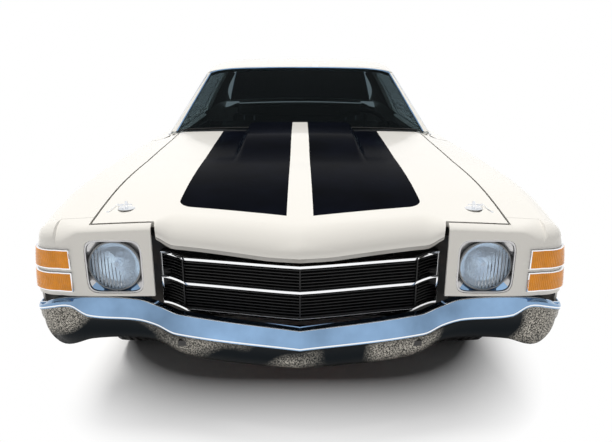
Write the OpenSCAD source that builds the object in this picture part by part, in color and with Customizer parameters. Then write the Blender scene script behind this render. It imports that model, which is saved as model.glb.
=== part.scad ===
// Two-door hardtop muscle car, an assembly of separate pieces.
// +Z is up, the nose points along -Y, and +X is the driver's side.
// The origin is on the ground, midway between the bumpers.

/* [Overall] */
// Distance between the front and rear axles
wheelbase = 2845; // [2500:5:3450]
// Nose of the front bumper to the front axle
front_overhang = 915; // [880:5:1000]
// Rear axle to the rear bumper
rear_overhang = 1260; // [1180:5:1400]
// Width across the widest point of the body sides
overall_width = 1915; // [1800:5:2300]
// Height of the roof's crown above the ground
roof_height = 1340; // [1300:5:1440]

/* [Wheels] */
// Outer diameter of a tyre
tyre_d = 670; // [550:1:690]
// Width of a tyre
tyre_w = 216; // [180:1:240]
// Diameter of the wheel where the tyre seats
rim_d = 381; // [320:1:420]
// Width of the wheel between its flanges
rim_w = 178; // [150:1:190]
// Half of the distance between the two wheels of an axle
half_track = 760; // [740:1:790]
// Radius of the stub that carries a wheel
spindle_r = 17; // [14:0.5:24]
// Gap around a stub or a pin that turns
running_gap = 0.3; // [0.1:0.05:0.5]

/* [Panels] */
// Gap between a moving panel and the one beside it
panel_gap = 8; // [7:0.5:12]
// Gap ahead of a panel that swings in as it opens
swing_gap = 10; // [9:0.5:14]
// Gap between two fixed panels
seam_gap = 0.6; // [0.3:0.1:0.9]
// Thickness of the fender sheet with its folded edge
sheet = 8; // [6:1:12]
// Thickness of the hood with its inner frame
hood_t = 22; // [14:1:30]
// Thickness of the roof with its lining
roof_t = 30; // [20:1:45]
// Thickness of the window glass
glass_t = 6; // [4:0.5:8]
// Distance from the front axle to the front edge of the door
axle_to_door = 715; // [690:5:760]
// Length of the door
door_len = 1320; // [1100:5:1600]
// Radius of the wheel openings
arch_r = 388; // [380:1:400]
// Radius of a hinge pin
pin_r = 4; // [3:0.5:6]

/* [Front end] */
// Diameter of a headlamp's glass
lamp_d = 178; // [150:1:200]
// Half of the distance between the headlamps
lamp_x = 640; // [632:1:655]
// Height of the headlamps
lamp_z = 664; // [652:1:668]
// Height of the raised middle of the hood at its rear edge
dome_h = 48; // [20:1:60]
// Half width of the raised middle of the hood
dome_x = 290; // [230:1:300]

/* [Hidden] */
$fn = 48;

// Main stations along the car
y_front = -(front_overhang + wheelbase + rear_overhang) / 2;
front_axle = y_front + front_overhang;
rear_axle = front_axle + wheelbase;
y_rear = rear_axle + rear_overhang;
axle_z = tyre_d / 2;
half_w = overall_width / 2;
door_front = front_axle + axle_to_door;
door_rear = door_front + door_len;
header_y = y_front + 218;
hood_seam_y = y_front + 165;
hood_rear = door_front + 10;
shelf_y = rear_axle + 190;
deck_front = rear_axle + 262;
deck_rear = y_rear - 140;
sill_z = 225;
door_bottom = 285;
// The wheel openings are centred a little above the axles
arch_z = axle_z + 12;

// Value at p of the smooth curve through the rows [position, value] of t
function tangent(t, i) = let (a = max(i - 1, 0), b = min(i + 1, len(t) - 1))
    (t[b][1] - t[a][1]) / (t[b][0] - t[a][0]);
function row(t, p, i = 0) = i >= len(t) - 2 || p < t[i + 1][0] ? i : row(t, p, i + 1);
function curve(t, p) =
    p <= t[0][0] ? t[0][1] :
    p >= t[len(t) - 1][0] ? t[len(t) - 1][1] :
    let (i = row(t, p), h = t[i + 1][0] - t[i][0], u = (p - t[i][0]) / h)
    (2 * pow(u, 3) - 3 * pow(u, 2) + 1) * t[i][1] + (pow(u, 3) - 2 * pow(u, 2) + u) * h * tangent(t, i)
    + (3 * pow(u, 2) - 2 * pow(u, 3)) * t[i + 1][1] + (pow(u, 3) - pow(u, 2)) * h * tangent(t, i + 1);
function mix(a, b, u) = a + (b - a) * u;
function clamp(v, lo, hi) = min(max(v, lo), hi);
function steps(a, b, n) = [for (i = [0:n]) mix(a, b, i / n)];
function smooth(u) = let (c = clamp(u, 0, 1)) c * c * (3 - 2 * c);
function joined(lists) = [for (l = lists, v = l) v];

// Closed shell between two grids of points with the same rows and columns, as triangles
function quad(a, b, c, d) = [[a, b, c], [a, c, d]];
function shell_faces(n, m) = let (k = n * m) joined([
    for (i = [0:n - 2], j = [0:m - 2]) quad(i * m + j, i * m + j + 1, (i + 1) * m + j + 1, (i + 1) * m + j),
    for (i = [0:n - 2], j = [0:m - 2])
        quad(k + i * m + j, k + (i + 1) * m + j, k + (i + 1) * m + j + 1, k + i * m + j + 1),
    for (i = [0:n - 2]) quad(i * m, (i + 1) * m, k + (i + 1) * m, k + i * m),
    for (i = [0:n - 2]) quad((i + 1) * m + m - 1, i * m + m - 1, k + i * m + m - 1, k + (i + 1) * m + m - 1),
    for (j = [0:m - 2]) quad(j + 1, j, k + j, k + j + 1),
    for (j = [0:m - 2]) quad((n - 1) * m + j, (n - 1) * m + j + 1, k + (n - 1) * m + j + 1, k + (n - 1) * m + j)]);
module shell(outer, inner) {
    n = len(outer);
    m = len(outer[0]);
    polyhedron(points = joined(concat(outer, inner)), faces = shell_faces(n, m));
}
module both_sides() {
    children();
    mirror([1, 0, 0]) children();
}

// ---- Body lines ----
// Half width at the widest height
body_plan = [[y_front + 180, half_w - 20], [front_axle - 405, half_w - 8], [front_axle, half_w - 6.5],
    [door_front, half_w - 5], [door_front + 800, half_w - 10], [door_rear, half_w - 15],
    [rear_axle - 250, half_w - 3], [rear_axle + 50, half_w], [rear_axle + 550, half_w - 12],
    [rear_axle + 950, half_w - 38], [y_rear - 110, half_w - 62]];
// Height of the shoulder, where the side turns over to the top
shoulder_line = [[y_front + 60, 768], [y_front + 180, 806], [front_axle - 405, 858], [front_axle, 878],
    [door_front, 882], [door_front + 700, 890], [door_rear, 902], [rear_axle - 450, 918], [rear_axle - 100, 934],
    [rear_axle + 350, 926], [rear_axle + 850, 900], [y_rear - 110, 878]];
// How much higher the middle of the hood or deck is than the shoulder
crown_line = [[y_front + 60, 22], [front_axle - 405, 26], [front_axle, 36], [door_front, 55],
    [rear_axle + 200, 34], [rear_axle + 750, 30], [y_rear - 110, 20]];
// How far the hood's edges stand above the shoulder near the windshield
ridge_line = [[front_axle, 0], [front_axle + 465, 17], [door_front + 106, 31], [door_front + 580, 8],
    [door_rear, 0]];
ridge_w = 170;
// How far the side is tucked in, from the sill at 0 to the shoulder at 1
tuck_line = [[0, 66], [0.14, 36], [0.36, 8], [0.56, 0], [0.74, 7], [0.88, 20], [1, 44]];
shoulder_rx = 80;
shoulder_rz = 58;

function body_x(y) = curve(body_plan, y);
function shoulder(y) = curve(shoulder_line, y);
function side_x(y, z) = body_x(y) - curve(tuck_line, (z - sill_z) / (shoulder(y) - sill_z));
// Where the round shoulder meets the flatter top
function top_x(y) = side_x(y, shoulder(y) - shoulder_rz) - shoulder_rx;
function top_z(x, y) = let (t = top_x(y)) shoulder(y) + curve(crown_line, y) * (1 - pow(x / t, 2))
    + curve(ridge_line, y) * smooth((t - abs(x)) / ridge_w);
// Outline of the side at station y, from height low up to the shoulder, over it and inboard to x_in
function side_rows(y, low, x_in, inset, n_side, n_arc, n_top) = let (
    zc = shoulder(y) - shoulder_rz,
    xc = top_x(y)) concat(
    [for (i = [0:n_side - 1]) let (z = mix(low, zc, i / n_side)) [side_x(y, z) - inset, y, z]],
    [for (i = [0:n_arc - 1]) let (a = 84 * i / n_arc)
        [xc + (shoulder_rx - inset) * cos(a), y, zc + (shoulder_rz - inset) * sin(a)]],
    [for (i = [0:n_top]) let (x = mix(xc + 8, x_in, i / n_top)) [x, y, top_z(x, y) - inset]]);

function arch_low(y, axle, low) = let (d = abs(y - axle))
    d >= arch_r ? low : max(low, arch_z + sqrt(arch_r * arch_r - d * d));
// Stations along a panel with a wheel opening, closer together around it
function arch_stations(a, b, axle, n) = concat(
    steps(a, axle - arch_r - 2, n),
    [for (i = [0:12]) axle - arch_r * cos(180 * i / 12)],
    steps(axle + arch_r + 2, b, n));

// ---- Seams of the top surfaces ----
hood_half = 710;
hood_x_line = [[header_y, hood_half + 2], [front_axle, hood_half - 1], [hood_rear, hood_half - 4]];
function hood_x(y) = curve(hood_x_line, y);
deck_x_line = [[deck_front, 700], [rear_axle + 750, 715], [deck_rear, 700]];
function deck_x(y) = curve(deck_x_line, y);

module front_fender() {
    ys = arch_stations(header_y + seam_gap, door_front - swing_gap, front_axle, 4);
    // The lower edge rises ahead of the wheel, to meet the bumper
    function low(y) = max(arch_low(y, front_axle, sill_z + 10),
        mix(410, sill_z + 10, smooth((y - header_y) / 290)));
    shell([for (y = ys) side_rows(y, low(y), hood_x(y) + panel_gap, 0, 6, 4, 2)],
        [for (y = ys) side_rows(y, low(y), hood_x(y) + panel_gap, sheet, 6, 4, 2)]);
}

module front_fenders() {
    color("white") both_sides() front_fender();
}

// ---- Nose ----
// Front edge of the painted metal, seen from above
nose_line = [[0, y_front + 60], [70, y_front + 72], [420, y_front + 146], [470, y_front + 148],
    [505, y_front + 140], [800, y_front + 142], [870, y_front + 158]];
function nose_y(x) = curve(nose_line, abs(x));
// The front edge is rolled further down over the grille than over the headlamps
function roll_share(x) = smooth((abs(x) - 430) / 90);
// At the outer corners it turns into the round shoulder of the fender
function corner_share(x) = smooth((abs(x) - 745) / 90);
function roll_len(x) = mix(mix(78, 30, roll_share(x)), 76, corner_share(x));
function roll_drop(x) = mix(mix(68, 14, roll_share(x)), shoulder_rz, corner_share(x));
// Height of the painted top surface, with its front edge rolled down
function hood_top(x, y) = let (s = clamp((nose_y(x) - y) / roll_len(x) + 1, 0, 1))
    top_z(x, max(y, y_front + 80)) - roll_drop(x) * (1 - sqrt(1 - s * s)) + dome(x, y);
// Raised middle of the hood, which fades out towards the nose
function dome(x, y) = dome_h * smooth((y - (front_axle - 150)) / 420)
    * smooth((dome_x + dome_wall - abs(x)) / (2 * dome_wall));

dome_wall = 22;

hood_corner_x = 497;
// Front edge of the hood: rolled over the grille, and stepped back along the headlamp panels
function hood_front(x) = let (a = abs(x))
    a < hood_corner_x - 8 ? nose_y(a) :
    mix(nose_y(a), hood_seam_y + panel_gap, smooth((a - hood_corner_x + 8) / 9));
// Rear edge of the hood, bowed forward like the windshield
function hood_back(x) = hood_rear - 160 * (1 - pow(x / hood_half, 2));

hinge_y = hood_rear + 10;
hinge_x = hood_half - 18;
hinge_z = top_z(hinge_x, hinge_y) - 30;
module hood() {
    half = concat([for (x = [85, 178, dome_x - dome_wall, dome_x, dome_x + dome_wall, 365, 430,
        hood_corner_x - 8, hood_corner_x - 3.5, hood_corner_x + 1]) x / hood_half], [0.76, 0.84, 0.92, 0.97, 1]);
    us = concat([for (i = [len(half) - 1:-1:0]) -half[i]], [0], half);
    vs = [0, 0.006, 0.02, 0.04, 0.07, 0.12, 0.2, 0.3, 0.42, 0.5, 0.58, 0.66, 0.75, 0.87, 1];
    function pt(u, v, t) = let (
        x0 = u * hood_half,
        y = mix(hood_front(x0), hood_back(x0), v),
        x = u * hood_x(max(y, header_y)))
        [x, y + (t > 0 && v == 0 ? 6 : 0), hood_top(x0, y) - t];
    color("white") {
        shell([for (u = us) [for (v = vs) pt(u, v, 0)]], [for (u = us) [for (v = vs) pt(u, v, hood_t)]]);
        both_sides() hood_arm();
    }
}
// Arm under the hood that turns on the hinge pin of the cowl
module hood_arm() {
    arm = 110;
    translate([hinge_x - 6, hinge_y, hinge_z]) difference() {
        union() {
            rotate([0, 90, 0]) cylinder(r = 9, h = 12);
            translate([0, -arm, -8]) cube([12, arm, 18]);
        }
        translate([-1, 0, 0]) rotate([0, 90, 0]) cylinder(r = pin_r + running_gap, h = 14);
    }
}

// ---- Headlamp panels ----
cap_x0 = hood_corner_x + 9;
cap_bottom = 556;
cap_t = 10;
bezel_w = 204;
bezel_h = 200;
// The lamp sits in a notch that is open at the bottom
notch_x = bezel_w / 2 + seam_gap / 2;
function cap_low(x) = abs(x - lamp_x) < notch_x ? lamp_z + bezel_h / 2 + seam_gap / 2 : cap_bottom;
// Share of the panel's depth that row i of its rolled top edge still stands forward
function roll(i) = max(cos(15 * i), 0.012);
// Beside the hood the panel reaches further back, to the fender
function cap_back(x) = x < hood_half + 10 ? hood_seam_y : header_y;
// One column of a headlamp panel: up the front face, over the edge and back to the fender's seam.
// Columns 0 to 1 cross the front, and columns 1 to 2 turn the corner.
function cap_column(u, t) = let (
    cx = top_x(header_y),
    zc = shoulder(header_y) - shoulder_rz,
    depth = header_y - nose_y(cx)) u <= 1 ? let (x = mix(cap_x0, cx, u), ny = nose_y(x)) concat(
        [for (i = [0:3]) [x, ny + t, mix(cap_low(x), hood_top(x, ny), i / 4)]],
        [for (i = [0:6]) let (s = roll(i), y = mix(cap_back(x), ny, s))
            [x, y + t * s, hood_top(x, y) - t * (1 - s)]])
    : let (a = 90 * (2 - u)) concat(
        [for (i = [0:3]) let (z = mix(cap_bottom, zc, i / 4))
            [cx + (side_x(header_y, z) - cx - t) * cos(a), header_y - (depth - t) * sin(a), z]],
        [for (i = [0:6]) let (s = roll(i))
            [cx + (shoulder_rx - t) * cos(a) * s, header_y - (depth - t) * sin(a) * s,
                zc + (shoulder_rz - t) * sin(15 * i)]]);
module headlamp_panel() {
    function u_at(x) = (x - cap_x0) / (top_x(header_y) - cap_x0);
    us = [0, u_at(lamp_x - notch_x), u_at(lamp_x - notch_x + 0.2), u_at(lamp_x), u_at(hood_half + 9.9),
        u_at(hood_half + 10.1), u_at(lamp_x + notch_x - 0.2),
        u_at(lamp_x + notch_x), 1, 1.2, 1.4, 1.6, 1.8, 2];
    color("white") both_sides() shell([for (u = us) cap_column(u, 0)], [for (u = us) cap_column(u, cap_t)]);
}

lamp_y = nose_y(lamp_x) + 6;
module headlamp() {
    g = seam_gap / 2;
    translate([lamp_x, lamp_y, lamp_z]) rotate([-90, 0, 0]) {
        difference() {
            translate([-bezel_w / 2 + g, -bezel_h / 2 + g, 0]) cube([bezel_w - 2 * g, bezel_h - 2 * g, 62]);
            translate([0, 0, -1]) cylinder(d = lamp_d + 1, h = 40);
        }
        translate([0, 0, 39.5]) rotate([180, 0, 0]) rotate_extrude() polygon(concat([[0, 0], [lamp_d / 2, 0]],
            [for (a = [0:15:90]) [lamp_d / 2 * cos(a), 14 + 22 * sin(a)]]));
    }
}
module headlamps() {
    color("silver") both_sides() headlamp();
}

module turn_signals() {
    us = [0.86, 1, 1.2, 1.4, 1.6, 1.8, 1.95];
    function pts(z0, z1, t) = [for (u = us) [for (i = [0:2]) let (
        cx = top_x(header_y),
        z = mix(z0, z1, i / 2),
        depth = header_y - nose_y(cx),
        a = 90 * (2 - u))
        u <= 1 ? [mix(cap_x0, cx, u), nose_y(mix(cap_x0, cx, u)) - t, z]
        : [cx + (side_x(header_y, z) - cx + t) * cos(a), header_y - (depth + t) * sin(a), z]]];
    color("orange") both_sides() for (z = [574, 657]) shell(pts(z, z + 70, 8), pts(z, z + 70, 0.9));
}

// ---- Grille ----
grille_low = 486;
grille_top = 690;
// The grille follows the nose, and bends back near its ends
function nose_points(x0, x1, off, n) = [for (x = steps(x0, x1, n))
    [x, nose_y(x) + off + 72 * clamp((abs(x) - 402) / 96, 0, 1)]];
module nose_strip(x1, off, depth, z, h) {
    translate([0, 0, z]) linear_extrude(height = h)
        polygon(concat(nose_points(-x1, x1, off, 24), nose_points(x1, -x1, off + depth, 24)));
}
module grille() {
    x1 = cap_x0 - 4;
    color("black") nose_strip(x1, 46, 12, grille_low, grille_top - grille_low);
    color("silver") for (z = [grille_low, 588, grille_top - 10]) nose_strip(x1, 18, 28, z, 10);
    // Brackets to the radiator support
    color("black") both_sides() translate([x1 - 32, support_y - 40, 560]) cube([30, 39.7, 60]);
    color("black") for (z = [grille_low + 24, 537, 562, 612, 636, 660]) nose_strip(x1, 26, 20, z, 4);
}

// ---- Front bumper ----
// Rows: distance along the half bumper, then x, y behind the nose, top, mid and bottom heights
bumper_path = [[0, 0], [220, 40], [430, 84], [500, 104], [570, 114], [740, 116], [800, 120], [870, 130],
    [925, 160], [950, 205], [956, 260], [955, 330]];
bumper_top = [[0, 478], [430, 500], [500, 521], [570, 543], [740, 552], [870, 540], [956, 505]];
bumper_mid = [[0, 423], [430, 437], [500, 462], [570, 478], [740, 492], [800, 526], [870, 518], [956, 488]];
bumper_low = [[0, 343], [236, 340], [400, 351], [500, 386], [600, 399], [740, 392], [835, 366], [900, 395],
    [956, 462]];
module front_bumper() {
    n = len(bumper_path);
    spread = half_w - 957.5;
    full = concat([for (i = [n - 1:-1:1]) [-bumper_path[i][0], bumper_path[i][1]]], bumper_path);
    m = len(full);
    function normal(i) = let (a = full[max(i - 1, 0)], b = full[min(i + 1, m - 1)], l = norm(b - a))
        [-(b[1] - a[1]) / l, (b[0] - a[0]) / l];
    function at(i, off, z) = let (p = full[i], v = normal(i))
        [p[0] + v[0] * off + sign(p[0]) * spread, y_front + p[1] + v[1] * off, z];
    // The edges are folded in less at the ends, which lie over the fenders
    function lip(i) = full[i][1] > 190 ? 12 : 58;
    function rows(t) = [for (i = [0:m - 1]) let (x = abs(full[i][0])) [
        at(i, min(14, lip(i) - 10) + t, curve(bumper_low, x)),
        at(i, min(10, lip(i) - 10) + t, curve(bumper_mid, x) - 18),
        at(i, 0 + t, curve(bumper_mid, x)),
        at(i, 4 + t, curve(bumper_mid, x) + 12),
        at(i, min(24, lip(i) - 10) + t, curve(bumper_top, x) - t),
        at(i, lip(i), curve(bumper_top, x) - t)]];
    color("silver") shell(rows(0), rows(9));
    // Brackets to the frame rails
    color("dimgray") both_sides() translate([375, y_front + 88, 390]) cube([50, 195 - 88, 20]);
}

// ---- Rear bumper ----
tail_lamp_x = [540, 700];
tail_lamp_r = 51.6;
module rear_bumper() {
    path = [[0, 0], [400, -14], [760, -40], [880, -70], [930, -130], [942, -200], [946, -330]];
    n = len(path);
    spread = half_w - 957.5;
    full = concat([for (i = [n - 1:-1:1]) [-path[i][0], path[i][1]]], path);
    m = len(full);
    function normal(i) = let (a = full[max(i - 1, 0)], b = full[min(i + 1, m - 1)], l = norm(b - a))
        [(b[1] - a[1]) / l, -(b[0] - a[0]) / l];
    function at(i, off, z) = let (p = full[i], v = normal(i))
        [p[0] + v[0] * off + sign(p[0]) * spread, y_rear + p[1] + v[1] * off, z];
    // The edges are folded in less at the ends, which lie over the body sides
    function lip(i) = full[i][1] < -100 ? 10 : full[i][1] < -60 ? 36 : 60;
    function rows(t) = [for (i = [0:m - 1]) [
        at(i, lip(i), 604 - t), at(i, min(22, lip(i) - 10) + t, 604 - t), at(i, 2 + t, 560),
        at(i, t, 500), at(i, min(14, lip(i) - 10) + t, 450), at(i, lip(i) - 10 + t, 400)]];
    color("silver") difference() {
        shell(rows(0), rows(9));
        both_sides() for (x = tail_lamp_x)
            translate([x, y_rear - 80, 532]) rotate([-90, 0, 0]) cylinder(r = tail_lamp_r + 0.4, h = 120);
    }
    color("dimgray") both_sides() translate([505, y_rear - 100, 410]) cube([50, 80, 40]);
}
module tail_lamps() {
    color("darkred") both_sides() for (x = tail_lamp_x)
        translate([x, y_rear - 88, 532]) rotate([-90, 0, 0]) cylinder(r = tail_lamp_r, h = 64);
}

// ---- Roof and windows ----
roof_front = door_front + 550;
roof_rear = rear_axle - 380;
roof_mid = (roof_front + roof_rear) / 2;
roof_x_line = [[roof_front, 628], [roof_mid, 622], [roof_rear, 606]];
roof_crown = [[roof_front - 20, roof_height - 50], [roof_front + 300, roof_height - 10], [roof_mid, roof_height],
    [roof_rear - 250, roof_height - 14], [roof_rear + 20, roof_height - 56]];
function roof_x(y) = curve(roof_x_line, y);
// The roof is nearly flat across, and turns down at the drip rails
function roof_z(x, y) = let (u = abs(x) / roof_x(y)) curve(roof_crown, y) - 12 * pow(u, 2) - 34 * pow(u, 9);
function roof_front_y(x) = roof_front + 40 * pow(x / 596, 2);
function roof_rear_y(x) = roof_rear - 24 * pow(x / 590, 2);

ws_base_x = 745;
ws_top_x = 600;
function ws_base_y(x) = door_front - 80 + 160 * pow(x / ws_base_x, 2);
function ws_base_z(x) = top_z(x, ws_base_y(x)) + 5;
function ws_top_y(x) = roof_front_y(x) - 8;
function ws_top_z(x) = roof_z(x, roof_front) - 8;
// Windshield point: u from -1 to 1 across, v from 0 at the base to 1 at the top
function ws_point(u, v, t) = let (xb = u * ws_base_x, xt = u * ws_top_x,
    bulge = 14 * sin(180 * v) * (1 - pow(u, 6)))
    [mix(xb, xt, v), mix(ws_base_y(xb), ws_top_y(xt), v) - bulge + t,
        mix(ws_base_z(xb), ws_top_z(xt), v) + bulge - t];
module windshield() {
    side_us = concat([for (i = [1:5]) i / 6], [(hinge_x - 20) / ws_base_x, 1]);
    us = concat([for (i = [len(side_us) - 1:-1:0]) -side_us[i]], [0], side_us);
    color("darkslategray") shell([for (u = us) [for (v = steps(0, 1, 5)) ws_point(u, v, 0)]],
        [for (u = us) [for (v = steps(0, 1, 5)) ws_point(u, v, glass_t)]]);
}

backlight_x = 680;
backlight_top_x = 548;
function bl_base_y(x) = rear_axle + 200 - 60 * pow(x / backlight_x, 2);
function bl_point(u, v, t) = let (xb = u * backlight_x, xt = u * backlight_top_x, bulge = 18 * sin(180 * v))
    [mix(xb, xt, v), mix(bl_base_y(xb), roof_rear_y(xt) + 8, v) + bulge - t,
        mix(top_z(xb, bl_base_y(xb)) + 4, roof_z(xt, roof_rear) - 10, v) + bulge - t];
module roof() {
    us = [-1, -0.97, -0.93, -0.86, -0.75, -0.55, -0.3, 0, 0.3, 0.55, 0.75, 0.86, 0.93, 0.97, 1];
    vs = steps(0, 1, 9);
    function pt(u, v, t) = let (x0 = u * roof_x(roof_front), y = mix(roof_front_y(x0), roof_rear_y(x0), v),
        x = u * roof_x(y))
        [x * (1 - t / 1800), y, roof_z(x, y) - t];
    color("white") {
        shell([for (u = us) [for (v = vs) pt(u, v, 0)]], [for (u = us) [for (v = vs) pt(u, v, roof_t)]]);
        both_sides() pillar();
    }
}
// Windshield pillar, from the cowl to the roof
module pillar() {
    base = [ws_base_x + 2, ws_base_y(ws_base_x) - 10, top_z(ws_base_x, ws_base_y(ws_base_x)) + 2];
    top = [ws_top_x + 7, ws_top_y(ws_top_x) - 4, roof_z(ws_top_x, roof_front) - 24];
    hull() {
        translate(base) cube([31, 50, 6]);
        translate(top) cube([20, 46, 16]);
    }
}

// Plane of the side windows, leaning in from the belt to the roof
belt_x_line = [[door_front, 806], [rear_axle - 420, 806], [rear_axle - 50, 775], [deck_front - 20, 722]];
function belt_x(y) = curve(belt_x_line, y);
function belt_z(y) = top_z(belt_x(y) - glass_t, y) + seam_gap;
function rail_z(y, gap) = roof_z(roof_x(y), clamp(y, roof_front, roof_rear)) - roof_t - gap;
function window_x(y, h) = mix(belt_x(y), roof_x(y) - 6, h) + 10 * sin(180 * h);
// Slab in the plane of the side windows between the lines f and b, each [y at the belt, y at the roof]
module side_slab(f, b, t, n, m, top_gap) {
    function pt(i, j, off) = let (h = j / m, y = mix(mix(f[0], f[1], h), mix(b[0], b[1], h), i / n))
        [window_x(y, h) - off, y, mix(belt_z(y), rail_z(y, top_gap), h)];
    shell([for (i = [0:n]) [for (j = [0:m]) pt(i, j, 0)]], [for (i = [0:n]) [for (j = [0:m]) pt(i, j, t)]]);
}
pillar_rear = [door_front + 135, roof_front + 75];
sail_front = [door_rear + 260, door_rear + 120];
sail_rear = [shelf_y + 30, roof_rear - 16];

// ---- Cowl ----
cowl_end = 778;
cowl_side = 700;
post_x = 836;
post_top = 810;
door_pin_x = half_w - 5 - 27;
door_pin_y = door_front + 80;
door_hinges = [515, 690];
hinge_h = 60;
module cowl() {
    // The strip is cut back at its ends, where the arms of the hood's hinges come down
    notch = (hinge_x - 20) / cowl_end;
    side_us = concat([for (i = [1:5]) i * ws_base_x / 6 / cowl_end],
        [notch - 0.001, notch + 0.001, ws_base_x / cowl_end, 1]);
    us = concat([for (i = [len(side_us) - 1:-1:0]) -side_us[i]], [0], side_us);
    vs = [0, 0.3, 1];
    function front(x) = abs(x) > notch * cowl_end ? hinge_y + 23 : hood_back(x) + panel_gap;
    function pt(u, v, t) = let (x = u * cowl_end, y = mix(front(x), ws_base_y(min(abs(x), ws_base_x)) + 14, v))
        [x, y, top_z(clamp(x, -750, 750), y) - 2.6 - 12 * pow(1 - v, 2) - t];
    color("white") shell([for (u = us) [for (v = vs) pt(u, v, 0)]], [for (u = us) [for (v = vs) pt(u, v, 10)]]);
    // Wall under the front edge, down to the firewall's shelf
    function wall(u, h, t) = let (x = u * (hinge_x - 20), y = hood_back(x) + panel_gap)
        [x, y + t, mix(shelf_z, top_z(x, y) - 2.6 - 12 - 8, h)];
    color("white") shell([for (u = steps(-1, 1, 10)) [for (h = [0, 1]) wall(u, h, 0.5)]],
        [for (u = steps(-1, 1, 10)) [for (h = [0, 1]) wall(u, h, 8)]]);
    color("white") both_sides() {
        translate([762, door_front - 50, door_bottom]) cube([post_x - 762, 142, post_top - door_bottom]);
        // Side of the cowl box, from the post to the top
        translate([cowl_side, hinge_y + 24, 770]) cube([764 - cowl_side, 110, hinge_z + 12 - 770]);
        // Bracket and pin of the hood hinge
        translate([hinge_x + 18, hinge_y - 10, shelf_z + 0.3]) cube([16, 42, hinge_z + 8 - shelf_z]);
        translate([hinge_x - 10, hinge_y, hinge_z]) rotate([0, 90, 0]) cylinder(r = pin_r, h = 32);
        // Door hinges: a plate above and below each barrel, and the pin through them
        for (z = door_hinges) {
            for (dz = [-hinge_h / 2 - 8, hinge_h / 2]) translate([post_x - 1, door_pin_y - 10, z + dz]) {
                cube([door_pin_x - post_x + 1, 20, 8]);
                translate([door_pin_x - post_x + 1, 10, 0]) cylinder(r = 7, h = 8);
            }
            translate([door_pin_x, door_pin_y, z - hinge_h / 2 - 4]) cylinder(r = pin_r, h = hinge_h + 8);
        }
    }
}
shelf_z = 862;

// ---- Quarter panels ----
function quarter_in(y) = y < deck_front - 8 ? belt_x(y) - 12 : deck_x(y) + panel_gap;
module quarter_panel() {
    y1 = y_rear - 122;
    ys = concat(
        [for (y = arch_stations(door_rear + panel_gap, deck_front - 9, rear_axle, 3)) if (y < deck_front - 10) y],
        [deck_front - 9], [for (i = [10:12]) let (y = rear_axle - arch_r * cos(180 * i / 12)) if (y > deck_front) y],
        steps(rear_axle + arch_r + 2, y1, 5));
    function low(y) = max(arch_low(y, rear_axle, sill_z + 10), 235 + 230 * smooth((y - rear_axle - 500) / 500));
    shell([for (y = ys) side_rows(y, low(y), quarter_in(y), 0, 6, 4, 2)],
        [for (y = ys) side_rows(y, low(y), quarter_in(y), sheet, 6, 4, 2)]);
}
module quarter_panels() {
    jamb = 80;
    color("white") both_sides() {
        quarter_panel();
        side_slab(sail_front, sail_rear, roof_t, 5, 3, 2 * seam_gap);
        // Lock pillar
        translate([765, door_rear + panel_gap, door_bottom]) cube([jamb * 2, 8, 600]);
    }
}
module rear_deck_panel() {
    us = steps(-1, 1, 12);
    function front(x) = bl_base_y(x) - 10;
    function pt(u, v, t) = let (x0 = u * backlight_x, y = mix(front(x0), deck_front - swing_gap, v),
        x = u * (belt_x(y) - roof_t - seam_gap))
        [x, y, top_z(x, y) - 2.6 - t + 2 * v];
    color("white") {
        shell([for (u = us) [for (v = [0, 1]) pt(u, v, 0)]], [for (u = us) [for (v = [0, 1]) pt(u, v, 10)]]);
        // Brackets and pins that the deck lid turns on
        both_sides() {
            for (x = [deck_hinge_x - 9, deck_hinge_x + deck_barrel + 1])
                translate([x, deck_front - 30, deck_hinge_z - 6]) cube([8, 36 + deck_pin_dy, 10]);
            translate([deck_hinge_x - 5, deck_front + deck_pin_dy, deck_hinge_z]) rotate([0, 90, 0])
                cylinder(r = deck_pin_r, h = deck_barrel + 10);
        }
    }
}

// ---- Deck lid ----
deck_hinge_x = 140;
deck_barrel = 30;
deck_pin_r = 3;
deck_pin_dy = 4;
deck_hinge_z = top_z(0, deck_front) - 8;
deck_t = 20;
module deck_lid() {
    us = [-1, -0.9, -0.75, -0.5, -0.25, 0, 0.25, 0.5, 0.75, 0.9, 1];
    vs = [0, 0.1, 0.3, 0.5, 0.7, 0.85, 0.93, 0.97, 1];
    function pt(u, v, t) = let (y = mix(deck_front, deck_rear, v), x = u * deck_x(y), r = smooth((v - 0.9) / 0.1))
        [x, y - (t > 0 && v == 1 ? 4 : 0), top_z(x, y) - t - 26 * r * r];
    color("white") {
        difference() {
            shell([for (u = us) [for (v = vs) pt(u, v, 0)]], [for (u = us) [for (v = vs) pt(u, v, deck_t)]]);
            both_sides() translate([deck_hinge_x - 15, deck_front - 10, deck_hinge_z - 40]) cube([deck_barrel + 30, 26, 80]);
        }
        both_sides() translate([deck_hinge_x + 0.5, deck_front + deck_pin_dy, deck_hinge_z]) difference() {
            union() {
                rotate([0, 90, 0]) cylinder(r = 6, h = deck_barrel - 1);
                translate([0, 0, -6]) cube([deck_barrel - 1, 20, 8]);
            }
            translate([-1, 0, 0]) rotate([0, 90, 0]) cylinder(r = deck_pin_r + running_gap, h = deck_barrel + 2);
        }
    }
}
// ---- Tail ----
module tail_panel() {
    us = steps(-1, 1, 16);
    y0 = y_rear - 122;
    function top(x) = let (a = abs(x))
        a < 700 ? top_z(a, deck_rear) - 36 - deck_t : mix(840, 790, smooth((a - 700) / 160));
    function pt(u, v, t) = let (z0 = mix(600, 800, v), x = u * (side_x(y0, z0) - sheet - seam_gap / 2),
        z = mix(606, top(x), v))
        [x, y0 - 14 * pow(u, 4) + 12 * sin(180 * v) - t, z];
    color("white") shell([for (u = us) [for (v = steps(1, 0, 4)) pt(u, v, 0)]],
        [for (u = us) [for (v = steps(1, 0, 4)) pt(u, v, 8)]]);
}

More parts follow.
